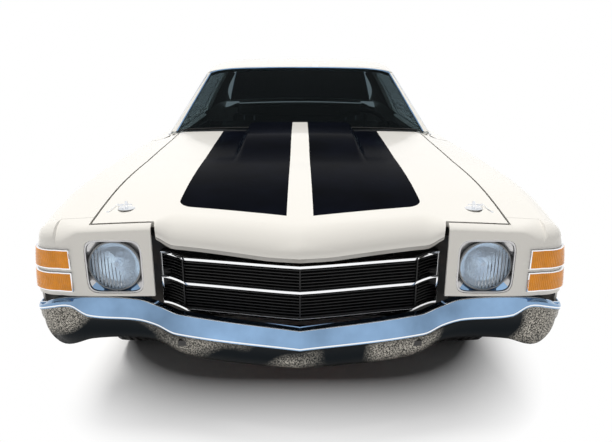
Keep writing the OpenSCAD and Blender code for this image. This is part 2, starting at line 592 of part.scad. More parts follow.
// ---- Doors ----
module left_door() {
    depth = 765;
    ys = [0, 50, 100, 101, 300, 500, 700, 900, 1100, door_len - 60, door_len];
    // The front of the door is a single skin, which swings in past the hinge post
    function inner(p, y, i) = i <= 2 ? p : let (f = p[0]) [min(f, depth), y - (i == len(ys) - 1 ? 25 : 0), p[2]];
    function x_in(y) = mix(810, 788, smooth((y - door_front) / 120));
    outer = [for (y = ys) side_rows(door_front + y, door_bottom, x_in(door_front + y), 0, 6, 4, 2)];
    inset = [for (i = [0:len(ys) - 1])
        let (y = door_front + ys[i], r = side_rows(y, door_bottom, x_in(y), sheet, 6, 4, 2))
        [for (p = r) inner(p, y, i)]];
    color("white") {
        shell(outer, inset);
        for (z = door_hinges) door_barrel(z);
    }
}
// Barrel of a door hinge, and the strap that joins it to the face of the door
module door_barrel(z) {
    h = hinge_h - 1;
    translate([door_pin_x, door_pin_y, z - h / 2]) difference() {
        union() {
            cylinder(r = 7, h = h);
            translate([-7, 0, 0]) cube([12, 21, h]);
        }
        translate([0, 0, -1]) cylinder(r = pin_r + running_gap, h = h + 2);
    }
}
module right_door() {
    mirror([1, 0, 0]) left_door();
}
module door_glass() {
    side_slab(pillar_rear, [door_rear, door_rear], glass_t, 6, 3, panel_gap);
}
module left_door_glass() {
    color("darkslategray") door_glass();
}
module right_door_glass() {
    color("darkslategray") mirror([1, 0, 0]) door_glass();
}
module rear_windows() {
    us = steps(-1, 1, 12);
    color("darkslategray") {
        shell([for (u = us) [for (v = steps(1, 0, 5)) bl_point(u, v, 0)]],
            [for (u = us) [for (v = steps(1, 0, 5)) bl_point(u, v, glass_t)]]);
        both_sides() side_slab([door_rear + panel_gap, door_rear + panel_gap],
            [sail_front[0] - seam_gap, sail_front[1] - seam_gap], glass_t, 3, 3, panel_gap);
    }
}

// ---- Rockers ----
module rockers() {
    y0 = door_front - swing_gap + seam_gap;
    y1 = door_rear + panel_gap - seam_gap;
    zs = steps(sill_z, door_bottom - panel_gap, 3);
    ys = steps(y0, y1, 6);
    color("white") both_sides() shell([for (y = ys) [for (z = zs) [side_x(y, z), y, z]]],
        [for (y = ys) [for (z = zs) [rail_out + 0.3, y, z]]]);
}

// ---- Frame ----
rail_in = 370;
rail_out = 762;
rail_z0 = 320;
rail_h = 90;
side_z0 = 205;
side_h = 85;
kick_y = rear_axle - 490;
rear_rail_z = 395;
rear_rail_h = 70;
rear_rail_x = 500;
module chassis_frame() {
    color("dimgray") {
        both_sides() {
            translate([rail_in, y_front + 195, rail_z0]) cube([60, torque_y + 90 - y_front - 195, rail_h]);
            // Torque box between the front rail and the side rail
            translate([rail_in, torque_y, side_z0]) cube([rail_out - rail_in, 90, side_h]);
            translate([rail_in, torque_y, side_z0]) cube([60, 90, rail_z0 - side_z0 + 10]);
            translate([rail_out - 70, torque_y, side_z0]) cube([70, kick_y + 90 - torque_y, side_h]);
            // Kick-up to the rear rails
            translate([rear_rail_x, kick_y, side_z0]) cube([rail_out - rear_rail_x, 90, side_h]);
            translate([rear_rail_x, kick_y, side_z0]) cube([60, 90, rear_rail_z + rear_rail_h - side_z0]);
            translate([rear_rail_x, kick_y, rear_rail_z]) cube([60, y_rear - 100 - kick_y, rear_rail_h]);
        }
        translate([-rail_in - 1, y_front + 195, rail_z0 + 10]) cube([2 * rail_in + 2, 50, 60]);
        translate([-430, front_axle - 80, 235]) cube([860, 160, rail_z0 - 235]);
        translate([-rail_out + 60, gearbox_rear - 170, 255]) cube([2 * rail_out - 120, 60, 35]);
        translate([-rear_rail_x - 1, rear_axle + 440, rear_rail_z]) cube([2 * rear_rail_x + 2, 60, 50]);
        difference() {
            translate([-rear_rail_x - 1, y_rear - 160, rear_rail_z]) cube([2 * rear_rail_x + 2, 60, 60]);
            for (x = tow_holes) translate([x, y_rear - 130, rear_rail_z - 1]) cylinder(d = tow_hole_d, h = 62);
        }
    }
}
tow_hole_d = 14;
tow_holes = [-150, 150];

// ---- Floor and inner walls ----
floor_z = side_z0 + side_h + 0.3;
floor_t = 8;
firewall_y = door_front - 195;
torque_y = firewall_y - 90.3;
trunk_z = 474;
gearbox_rear = door_front + 480;
tunnel_x = 135;
tunnel_h = 180;
module floor_pan() {
    w = 2 * rail_out;
    floor_len = kick_y - 0.3 - firewall_y - 8;
    color("dimgray") {
        difference() {
            union() {
                translate([-rail_out, firewall_y + 8, floor_z]) cube([w, floor_len, floor_t]);
                // Tunnel over the gearbox and the shaft
                translate([-tunnel_x - 6, firewall_y + 8, floor_z]) cube([2 * tunnel_x + 12, floor_len, tunnel_h + 6]);
                // Rise to the trunk floor
                translate([-rail_out, kick_y - 0.3 - floor_t, floor_z]) cube([w, floor_t, trunk_z + floor_t - floor_z]);
            }
            translate([-tunnel_x, firewall_y, floor_z - 1]) cube([2 * tunnel_x, floor_len + 20, tunnel_h + 1]);
        }
        translate([-wheelhouse_x, kick_y - 0.3 - floor_t, trunk_z]) cube([2 * wheelhouse_x, deck_rear - kick_y, floor_t]);
        firewall();
        // Wall behind the rear seat, and the parcel shelf
        translate([-590, rear_axle - 70, trunk_z + floor_t]) cube([1180, 6, 420 - 8]);
        translate([-640, rear_axle - 70, trunk_z + floor_t + 412]) cube([1280, 240, 6]);
        both_sides() wheelhouse(rear_axle, wheelhouse_x, 925);
    }
}
wheelhouse_x = 600;
module firewall() {
    difference() {
        union() {
            translate([-rail_out + 46, firewall_y, floor_z]) cube([2 * rail_out - 92, 8, shelf_z - floor_z]);
            translate([-rail_out + 46, firewall_y, shelf_z - 8]) cube([2 * rail_out - 92, 195, 8]);
        }
        translate([-tunnel_x, firewall_y - 1, floor_z - 1]) cube([2 * tunnel_x, 10, tunnel_h + 1]);
        translate([-400, firewall_y + 130, shelf_z - 9]) cube([800, 70, 10]);
    }
}
// Half round arch over a tyre, between x0 and x1, with its inner wall
module wheelhouse(axle, x0, x1) {
    r = arch_r + 10;
    translate([0, axle, arch_z]) rotate([90, 0, 90]) {
        difference() {
            translate([0, 0, x0]) cylinder(r = r + 5, h = x1 - x0);
            translate([0, 0, x0 + 5]) cylinder(r = r, h = x1 - x0);
            translate([-500, -500, x0 - 1]) cube([1000, 500 + trunk_z - arch_z, x1 - x0 + 2]);
        }
    }
}
apron_x = 438;
support_y = header_y + 60;
module engine_bay_panels() {
    z0 = rail_z0 + rail_h;
    color("black") {
        both_sides() {
            difference() {
                union() {
                    translate([apron_x, support_y + 8, z0 + 0.3]) cube([6, firewall_y - support_y - 8, 330]);
                    wheelhouse(front_axle, apron_x, 915);
                }
                // Opening for the upper arm
                translate([apron_x - 1, front_axle - 125, z0 - 10]) cube([10, 250, 90]);
            }
        }
        difference() {
            translate([-560, support_y, 411]) cube([1120, 8, 320]);
            translate([-345, support_y - 1, 430]) cube([690, 10, 280]);
        }
    }
}

// ---- Engine bay and running gear ----
module radiator() {
    color("dimgray") translate([0, support_y + 8.3, 0]) {
        translate([-360, 0, 411]) cube([720, 60, 304]);
        translate([-300, 60, 450]) cube([600, 60, 250]);
    }
}
// Round tube along a route of points, mostly along Y
module tube(points, r) {
    sides = 12;
    n = len(points);
    function along(i) = let (d = points[min(i + 1, n - 1)] - points[max(i - 1, 0)]) d / norm(d);
    function ring(i) = let (d = along(i), e = cross(d, [1, 0, 0]), f = e / norm(e), g = cross(d, f))
        [for (k = [0:sides - 1]) points[i] + r * (f * cos(360 * k / sides) + g * sin(360 * k / sides))];
    sides_faces = [for (i = [0:n - 2], k = [0:sides - 1]) let (k2 = (k + 1) % sides)
        each quad(i * sides + k, i * sides + k2, (i + 1) * sides + k2, (i + 1) * sides + k)];
    polyhedron(points = [for (i = [0:n - 1]) each ring(i)], faces = concat(
        [for (f = sides_faces) [f[2], f[1], f[0]]],
        [[for (k = [0:sides - 1]) k]], [[for (k = [sides - 1:-1:0]) (n - 1) * sides + k]]));
}
engine_rear = firewall_y - 25;
module drivetrain() {
    color("dimgray") {
        translate([-260, engine_rear - 700, rail_z0 + 10]) cube([520, 700, 430]);
        translate([-105, engine_rear - 1, 300]) cube([210, gearbox_rear - engine_rear, 170]);
        both_sides() translate([255, front_axle + 60, 340]) cube([rail_in - 255.3, 80, 50]);
        translate([-60, gearbox_rear - 170, 290.3]) cube([120, 60, 20]);
        tube([[0, gearbox_rear - 2, 360], [0, rear_axle - 281, axle_z]], 34);
    }
}
module exhaust() {
    color("silver") both_sides() {
        tube([[260 + 24.5, engine_rear - 250, rail_z0 + 100], [300, engine_rear + 20, 228], [300, rear_axle - 390, 228],
            [300, rear_axle - 150, 440], [300, rear_axle + 180, 440], [468, rear_axle + 420, 330],
            [468, y_rear - 90, 330]], 24);
        translate([230, rear_axle - 1050, 190]) cube([140, 480, 76]);
    }
}
module fuel_tank() {
    color("dimgray") {
        translate([-420, rear_axle + 540, 250]) cube([840, 440, 140]);
        both_sides() translate([250, rear_axle + 539, 389]) cube([50, 442, trunk_z - 389.3]);
    }
}
arm_z = [235, 465];
module arm_ring(x) {
    difference() {
        linear_extrude(height = 12) union() {
            polygon([[431, -110], [431, 110], [x, 30], [x, -30]]);
            translate([x, 0]) circle(r = 30);
        }
        translate([x, 0, -1]) cylinder(r = ball_r + running_gap, h = 14);
        translate([0, 0, -1]) linear_extrude(height = 14) polygon([[455, -75], [455, 75], [x - 60, 22], [x - 60, -22]]);
    }
}
ball_r = 9;
steer_x = 690;
module front_suspension() {
    color("dimgray") both_sides() translate([0, front_axle, 0]) {
        translate([-0.5, 0, arm_z[0] - 6]) arm_ring(steer_x + 0.5);
        translate([-0.5, 0, arm_z[1] - 6]) arm_ring(steer_x + 0.5);
        // Tower that carries the upper arm and the spring
        translate([430.3, -50, 411]) cube([130, 100, 30]);
        translate([430.3, -110, rail_z0 + 20]) cube([14, 220, arm_z[1] + 6 - rail_z0 - 20]);
        translate([520, 0, arm_z[0]]) cylinder(r = 36, h = 411 - arm_z[0]);
    }
}
module knuckle() {
    color("dimgray") translate([0, front_axle, 0]) difference() {
        union() {
            translate([steer_x - 18, -24, arm_z[0] + 12]) cube([34, 48, arm_z[1] - arm_z[0] - 24]);
            translate([steer_x, 0, arm_z[0] - 6]) cylinder(r = ball_r, h = arm_z[1] - arm_z[0] + 12);
            translate([steer_x, 0, axle_z]) rotate([0, 90, 0]) cylinder(r = 40, h = 17);
            translate([steer_x + 10, 0, axle_z]) rotate([0, 90, 0]) cylinder(r = spindle_r, h = half_track + 44 - steer_x - 10);
        }
    }
}
module left_knuckle() {
    knuckle();
}
module right_knuckle() {
    mirror([1, 0, 0]) knuckle();
}
module rear_axle_assembly() {
    color("dimgray") translate([0, rear_axle, axle_z]) {
        rotate([0, 90, 0]) translate([0, 0, -700]) cylinder(r = 38, h = 1400);
        // Housing of the differential, with its round cover at the back
        rotate([-90, 0, 0]) rotate(90) rotate_extrude()
            polygon([[0, -105], [60, -105], [118, -45], [118, 45], [100, 70], [40, 92], [0, 92]]);
        rotate([90, 0, 0]) cylinder(r = 42, h = 280);
        both_sides() {
            translate([690, 0, 0]) rotate([0, 90, 0]) cylinder(r = 118, h = 14);
            translate([690, 0, 0]) rotate([0, 90, 0]) cylinder(r = spindle_r, h = half_track + 44 - 690);
            // Coil spring seat and coil, up to the trunk floor
            translate([420, 0, 0]) cylinder(r = 45, h = trunk_z - axle_z - 0.3);
            // Lower arm, forward to the frame
            translate([570, -400, -50]) cube([40, 425, 34]);
        }
    }
}

// ---- Wheels ----
module rim() {
    w = rim_w / 2;
    r = rim_d / 2;
    color("silver") difference() {
        union() {
            rotate([0, 90, 0]) rotate_extrude() polygon([[r - 9, -w + 6], [r - 22, -w * 0.5], [r - 22, w * 0.2], [r - 9, w - 6],
                [r + 4, w - 6], [r + 6, w - 2], [r + 13, w], [r + 13, w - 4], [r + 10, w - 5], [r + 8, w - 10], [r, w - 12],
                [r - 2, w - 34], [r - 10, w * 0.2], [r - 10, -w * 0.4], [r - 2, -w + 34], [r, -w + 12], [r + 8, -w + 10],
                [r + 10, -w + 5], [r + 13, -w + 4], [r + 13, -w], [r + 6, -w + 2], [r + 4, -w + 6]]);
            translate([-31, 0, 0]) rotate([0, 90, 0]) cylinder(r = 125, h = 20);
            translate([-32, 0, 0]) rotate([0, 90, 0]) cylinder(r = 52, h = 90);
            for (i = [0:4]) rotate([72 * i, 0, 0]) translate([22, -26, 20]) cube([22, 52, r - 34]);
        }
        translate([-33, 0, 0]) rotate([0, 90, 0]) cylinder(r = spindle_r + running_gap, h = 78);
    }
}
module tyre() {
    r = rim_d / 2;
    b = rim_w / 2;
    h = tyre_w / 2;
    o = tyre_d / 2;
    half = concat([[r + 0.3, b - 13], [r + 8.5, b - 10.6], [r + 10.6, b - 5.5], [r + 13.5, b - 4.5], [r + 15, b]],
        [for (a = [-50:20:50]) [mix(r + 22, o - 26, (a + 50) / 100), h * cos(a * 0.5)]],
        [[o - 9, h - 14], [o - 2, h - 30], [o, 0]]);
    color("black") rotate([0, 90, 0]) rotate_extrude()
        polygon(concat(half, [for (i = [len(half) - 2:-1:0]) [half[i][0], -half[i][1]]]));
}
module at_wheel(side, axle) {
    translate([side * half_track, axle, axle_z]) mirror([side < 0 ? 1 : 0, 0, 0]) children();
}
module front_left_rim() {
    at_wheel(1, front_axle) rim();
}
module front_right_rim() {
    at_wheel(-1, front_axle) rim();
}
module rear_left_rim() {
    at_wheel(1, rear_axle) rim();
}
module rear_right_rim() {
    at_wheel(-1, rear_axle) rim();
}
module front_left_tyre() {
    at_wheel(1, front_axle) tyre();
}
module front_right_tyre() {
    at_wheel(-1, front_axle) tyre();
}
module rear_left_tyre() {
    at_wheel(1, rear_axle) tyre();
}
module rear_right_tyre() {
    at_wheel(-1, rear_axle) tyre();
}

// ---- Cabin ----
seat_x = 405;
seat_w = 500;
seat_front = door_front + 560;
seat_z = 480;
module front_seats() {
    z0 = floor_z + floor_t + 0.3;
    color("black") both_sides() translate([seat_x, seat_front, 0]) {
        translate([-seat_w / 2 + 30, 40, z0]) cube([seat_w - 60, 420, 60]);
        translate([-seat_w / 2, 0, z0 + 50]) cube([seat_w, 500, seat_z - z0 - 50]);
        translate([-seat_w / 2, 480, seat_z - 60]) rotate([-18, 0, 0]) translate([0, -60, 0]) {
            cube([seat_w, 110, 500]);
            translate([seat_w / 2 - 95, 5, 495]) cube([190, 90, 120]);
        }
    }
}
module rear_seat() {
    y1 = rear_axle - 78;
    z0 = trunk_z + floor_t + 0.3;
    color("black") {
        translate([-wheelhouse_x + 15, kick_y + 105, z0]) cube([2 * wheelhouse_x - 30, y1 - kick_y - 105, 70]);
        translate([-wheelhouse_x + 15, y1 - 500, z0 + 30]) cube([2 * wheelhouse_x - 30, 260, 50]);
        translate([-wheelhouse_x + 15, y1 - 120, z0 + 60]) cube([2 * wheelhouse_x - 30, 120, 330]);
    }
}
wheel_hub = [seat_x, door_front + 430, 850];
column_tilt = 22;
module dashboard() {
    color("black") {
        translate([-700, door_front + 112, 700]) cube([1400, 190, 185]);
        translate([-cowl_side + 0.3, door_front + 40, 780]) cube([2 * cowl_side - 0.6, 80, 60]);
        translate(wheel_hub) rotate([90 + column_tilt, 0, 0]) {
            translate([0, 0, 20]) cylinder(r = 28, h = 340);
            translate([0, 0, -8]) cylinder(r = column_r, h = 40);
        }
    }
}
column_r = 10;
module steering_wheel() {
    color("black") translate(wheel_hub) rotate([90 + column_tilt, 0, 0]) difference() {
        union() {
            rotate_extrude() translate([185, 0]) circle(r = 13, $fn = 24);
            translate([0, 0, -12]) cylinder(r = 34, h = 26);
            for (a = [90, 210, 330]) rotate(a) translate([20, -14, -4]) cube([158, 28, 8]);
        }
        translate([0, 0, -9]) cylinder(r = column_r + running_gap, h = 30);
    }
}

chassis_frame();
floor_pan();
engine_bay_panels();
radiator();
drivetrain();
exhaust();
fuel_tank();
front_suspension();
rear_axle_assembly();  // rear_axle
front_fenders();
headlamp_panel();
grille();
headlamps();
turn_signals();
front_bumper();
cowl();
windshield();
roof();
quarter_panels();
rear_deck_panel();
rear_windows();
tail_panel();
tail_lamps();
rear_bumper();
rockers();
front_seats();
rear_seat();
dashboard();
hood();
deck_lid();
left_door();
right_door();
left_door_glass();
right_door_glass();
steering_wheel();
left_knuckle();
right_knuckle();
front_left_rim();
front_right_rim();
rear_left_rim();
rear_right_rim();
front_left_tyre();
front_right_tyre();
rear_left_tyre();
rear_right_tyre();
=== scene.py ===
"""Looks of the muscle car: detailed panels, materials, light and camera on the CAD frame."""

import math

import bmesh
import bpy
from mathutils import Matrix, Vector


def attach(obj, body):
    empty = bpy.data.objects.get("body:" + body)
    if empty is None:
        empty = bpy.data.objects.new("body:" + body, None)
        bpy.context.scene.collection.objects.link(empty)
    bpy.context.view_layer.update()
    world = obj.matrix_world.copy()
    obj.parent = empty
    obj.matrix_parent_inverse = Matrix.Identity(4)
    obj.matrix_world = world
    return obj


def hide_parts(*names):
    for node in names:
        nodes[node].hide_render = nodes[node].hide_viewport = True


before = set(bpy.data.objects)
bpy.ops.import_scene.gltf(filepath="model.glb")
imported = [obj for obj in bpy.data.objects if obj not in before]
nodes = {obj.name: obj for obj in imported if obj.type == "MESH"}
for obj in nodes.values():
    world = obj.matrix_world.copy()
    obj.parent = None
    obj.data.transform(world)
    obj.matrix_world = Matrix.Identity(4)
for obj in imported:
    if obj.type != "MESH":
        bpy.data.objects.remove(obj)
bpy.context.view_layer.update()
MM = 0.001

# ---- Body lines, in millimetres, as in the part's source ----
Y_FRONT, Y_REAR = -2510.0, 2510.0
FRONT_AXLE, REAR_AXLE, AXLE_Z = -1595.0, 1250.0, 335.0
HALF_TRACK = 760.0
DOOR_FRONT, DOOR_REAR = -880.0, 440.0
DOOR_PIN_X, DOOR_PIN_Y = 925.5, -800.0
HEADER_Y, HOOD_SEAM_Y, HOOD_REAR, SHELF_Y = -2292.0, -2345.0, -870.0, 1440.0
HOOD_HALF = 710.0
DECK_FRONT, DECK_REAR = 1512.0, 2370.0
DECK_PIN_DY, DECK_HINGE_Z = 4.0, 954.5
SILL_Z, DOOR_BOTTOM, ARCH_Z, ARCH_R = 225.0, 285.0, 347.0, 388.0
PANEL_GAP, SWING_GAP, SEAM_GAP, SHEET = 8.0, 10.0, 0.6, 8.0
HOOD_T, ROOF_T, GLASS_T = 22.0, 30.0, 6.0
LAMP_X, LAMP_Z = 640.0, 664.0
DOME_H, DOME_X = 48.0, 290.0


def mix(a, b, u):
    return a + (b - a) * u


def clamp(v, lo, hi):
    return min(max(v, lo), hi)


def smooth(u):
    c = clamp(u, 0.0, 1.0)
    return c * c * (3 - 2 * c)


def steps(a, b, n):
    return [mix(a, b, i / n) for i in range(n + 1)]


def curve(t, p):
    """Value at p of the smooth curve through the rows (position, value) of t."""
    if p <= t[0][0]:
        return t[0][1]
    if p >= t[-1][0]:
        return t[-1][1]
    i = max(k for k in range(len(t) - 1) if t[k][0] <= p)

    def tangent(k):
        a, b = max(k - 1, 0), min(k + 1, len(t) - 1)
        return (t[b][1] - t[a][1]) / (t[b][0] - t[a][0])

    h = t[i + 1][0] - t[i][0]
    u = (p - t[i][0]) / h
    return (
        (2 * u**3 - 3 * u**2 + 1) * t[i][1]
        + (u**3 - 2 * u**2 + u) * h * tangent(i)
        + (3 * u**2 - 2 * u**3) * t[i + 1][1]
        + (u**3 - u**2) * h * tangent(i + 1)
    )


BODY_PLAN = [(-2330, 937.5), (-2000, 949.5), (-1595, 951), (-880, 952.5), (-80, 947.5), (440, 942.5),
             (1000, 954.5), (1300, 957.5), (1800, 945.5), (2200, 919.5), (2400, 895.5)]
SHOULDER = [(-2450, 768), (-2330, 806), (-2000, 858), (-1595, 878), (-880, 882), (-180, 890), (440, 902),
            (800, 918), (1150, 934), (1600, 926), (2100, 900), (2400, 878)]
RIDGE = [(-1595, 0), (-1130, 17), (-774, 31), (-300, 8), (440, 0)]
CROWN = [(-2450, 22), (-2000, 26), (-1595, 36), (-880, 55), (1450, 34), (2000, 30), (2400, 20)]
TUCK = [(0, 66), (0.14, 36), (0.36, 8), (0.56, 0), (0.74, 7), (0.88, 20), (1, 44)]
SHOULDER_RX, SHOULDER_RZ = 80.0, 58.0


def body_x(y):
    return curve(BODY_PLAN, y)


def shoulder(y):
    return curve(SHOULDER, y)


def side_x(y, z):
    return body_x(y) - curve(TUCK, (z - SILL_Z) / (shoulder(y) - SILL_Z))


def top_x(y):
    return side_x(y, shoulder(y) - SHOULDER_RZ) - SHOULDER_RX


def top_z(x, y):
    t = top_x(y)
    return shoulder(y) + curve(CROWN, y) * (1 - (x / t) ** 2) + curve(RIDGE, y) * smooth((t - abs(x)) / 170)


def side_rows(y, low, x_in, inset, n_side=22, n_arc=12, n_top=5):
    zc = shoulder(y) - SHOULDER_RZ
    xc = top_x(y)
    rows = [(side_x(y, z) - inset, y, z) for z in steps(low, zc, n_side)[:-1]]
    for i in range(n_arc):
        a = math.radians(84 * i / n_arc)
        rows.append((xc + (SHOULDER_RX - inset) * math.cos(a), y, zc + (SHOULDER_RZ - inset) * math.sin(a)))
    rows += [(x, y, top_z(x, y) - inset) for x in steps(xc + 8, x_in, n_top)]
    return rows


def arch_low(y, axle, low):
    d = abs(y - axle)
    return low if d >= ARCH_R else max(low, ARCH_Z + math.sqrt(ARCH_R**2 - d * d))


def arch_stations(a, b, axle, n):
    arc = [axle - ARCH_R * math.cos(math.pi * i / 40) for i in range(41)]
    return steps(a, axle - ARCH_R - 2, n) + arc + steps(axle + ARCH_R + 2, b, n)


def hood_x(y):
    return curve([(HEADER_Y, HOOD_HALF + 2), (FRONT_AXLE, HOOD_HALF - 1), (HOOD_REAR, HOOD_HALF - 4)], y)


def deck_x(y):
    return curve([(DECK_FRONT, 700), (2000, 715), (DECK_REAR, 700)], y)


NOSE = [(0, -2450), (70, -2438), (420, -2364), (470, -2362), (505, -2370), (800, -2368), (870, -2352)]


def nose_y(x):
    return curve(NOSE, abs(x))


def dome(x, y):
    return DOME_H * smooth((y - (FRONT_AXLE - 150)) / 420) * smooth((DOME_X + 22 - abs(x)) / 44)


def hood_top(x, y):
    share, corner = smooth((abs(x) - 430) / 90), smooth((abs(x) - 745) / 90)
    s = clamp((nose_y(x) - y) / mix(mix(78, 30, share), 76, corner) + 1, 0, 1)
    drop = mix(mix(68, 14, share), SHOULDER_RZ, corner)
    return top_z(x, max(y, Y_FRONT + 80)) - drop * (1 - math.sqrt(1 - s * s)) + dome(x, y)


CORNER_X = 497.0


def hood_front(x):
    a = abs(x)
    if a < CORNER_X - 8:
        return nose_y(a)
    return mix(nose_y(a), HOOD_SEAM_Y + PANEL_GAP, smooth((a - CORNER_X + 8) / 9))


def hood_back(x):
    return HOOD_REAR - 160 * (1 - (x / HOOD_HALF) ** 2)


ROOF_FRONT, ROOF_REAR = -330.0, 870.0
WS_BASE_X, WS_TOP_X, BL_X, BL_TOP_X = 745.0, 600.0, 680.0, 548.0


def roof_x(y):
    return curve([(-330, 628), (270, 622), (870, 606)], y)


def roof_z(x, y):
    u = abs(x) / roof_x(y)
    crown = curve([(-350, 1290), (-30, 1330), (270, 1340), (620, 1326), (890, 1284)], y)
    return crown - 12 * u**2 - 34 * u**9


def roof_front_y(x):
    return ROOF_FRONT + 40 * (x / 596) ** 2


def roof_rear_y(x):
    return ROOF_REAR - 24 * (x / 590) ** 2


def ws_base_y(x):
    return DOOR_FRONT - 80 + 160 * (x / WS_BASE_X) ** 2


def ws_point(u, v, t):
    xb, xt = u * WS_BASE_X, u * WS_TOP_X
    bulge = 14 * math.sin(math.pi * v) * (1 - u**6)
    zb = top_z(xb, ws_base_y(xb)) + 5
    return (mix(xb, xt, v), mix(ws_base_y(xb), roof_front_y(xt) - 8, v) - bulge + t,
            mix(zb, roof_z(xt, ROOF_FRONT) - 8, v) + bulge - t)


def bl_base_y(x):
    return REAR_AXLE + 200 - 60 * (x / BL_X) ** 2


def bl_point(u, v, t):
    xb, xt = u * BL_X, u * BL_TOP_X
    bulge = 18 * math.sin(math.pi * v)
    return (mix(xb, xt, v), mix(bl_base_y(xb), roof_rear_y(xt) + 8, v) + bulge - t,
            mix(top_z(xb, bl_base_y(xb)) + 4, roof_z(xt, ROOF_REAR) - 10, v) + bulge - t)


def belt_x(y):
    return curve([(-880, 806), (830, 806), (1200, 775), (1492, 722)], y)


def belt_z(y):
    return top_z(belt_x(y) - GLASS_T, y) + SEAM_GAP


def rail_z(y, gap):
    return roof_z(roof_x(y), clamp(y, ROOF_FRONT, ROOF_REAR)) - ROOF_T - gap


def window_x(y, h):
    return mix(belt_x(y), roof_x(y) - 6, h) + 10 * math.sin(math.pi * h)


def slab_point(f, b, i, h, off, top_gap):
    """Point of the side windows' plane; the edges f and b are each (y at the belt, y at the roof)."""
    y = mix(mix(f[0], f[1], h), mix(b[0], b[1], h), i)
    return (window_x(y, h) - off, y, mix(belt_z(y), rail_z(y, top_gap), h))


PILLAR_REAR = (DOOR_FRONT + 135, ROOF_FRONT + 75)
SAIL_FRONT = (DOOR_REAR + 260, DOOR_REAR + 120)
SAIL_REAR = (SHELF_Y + 30, ROOF_REAR - 16)


# ---- Mesh building ----
def ring_faces(n, k):
    """Quads between n sections of k points each, in a closed ring."""
    return [[i * k + j, i * k + (j + 1) % k, (i + 1) % n * k + (j + 1) % k, (i + 1) % n * k + j]
            for i in range(n) for j in range(k)]


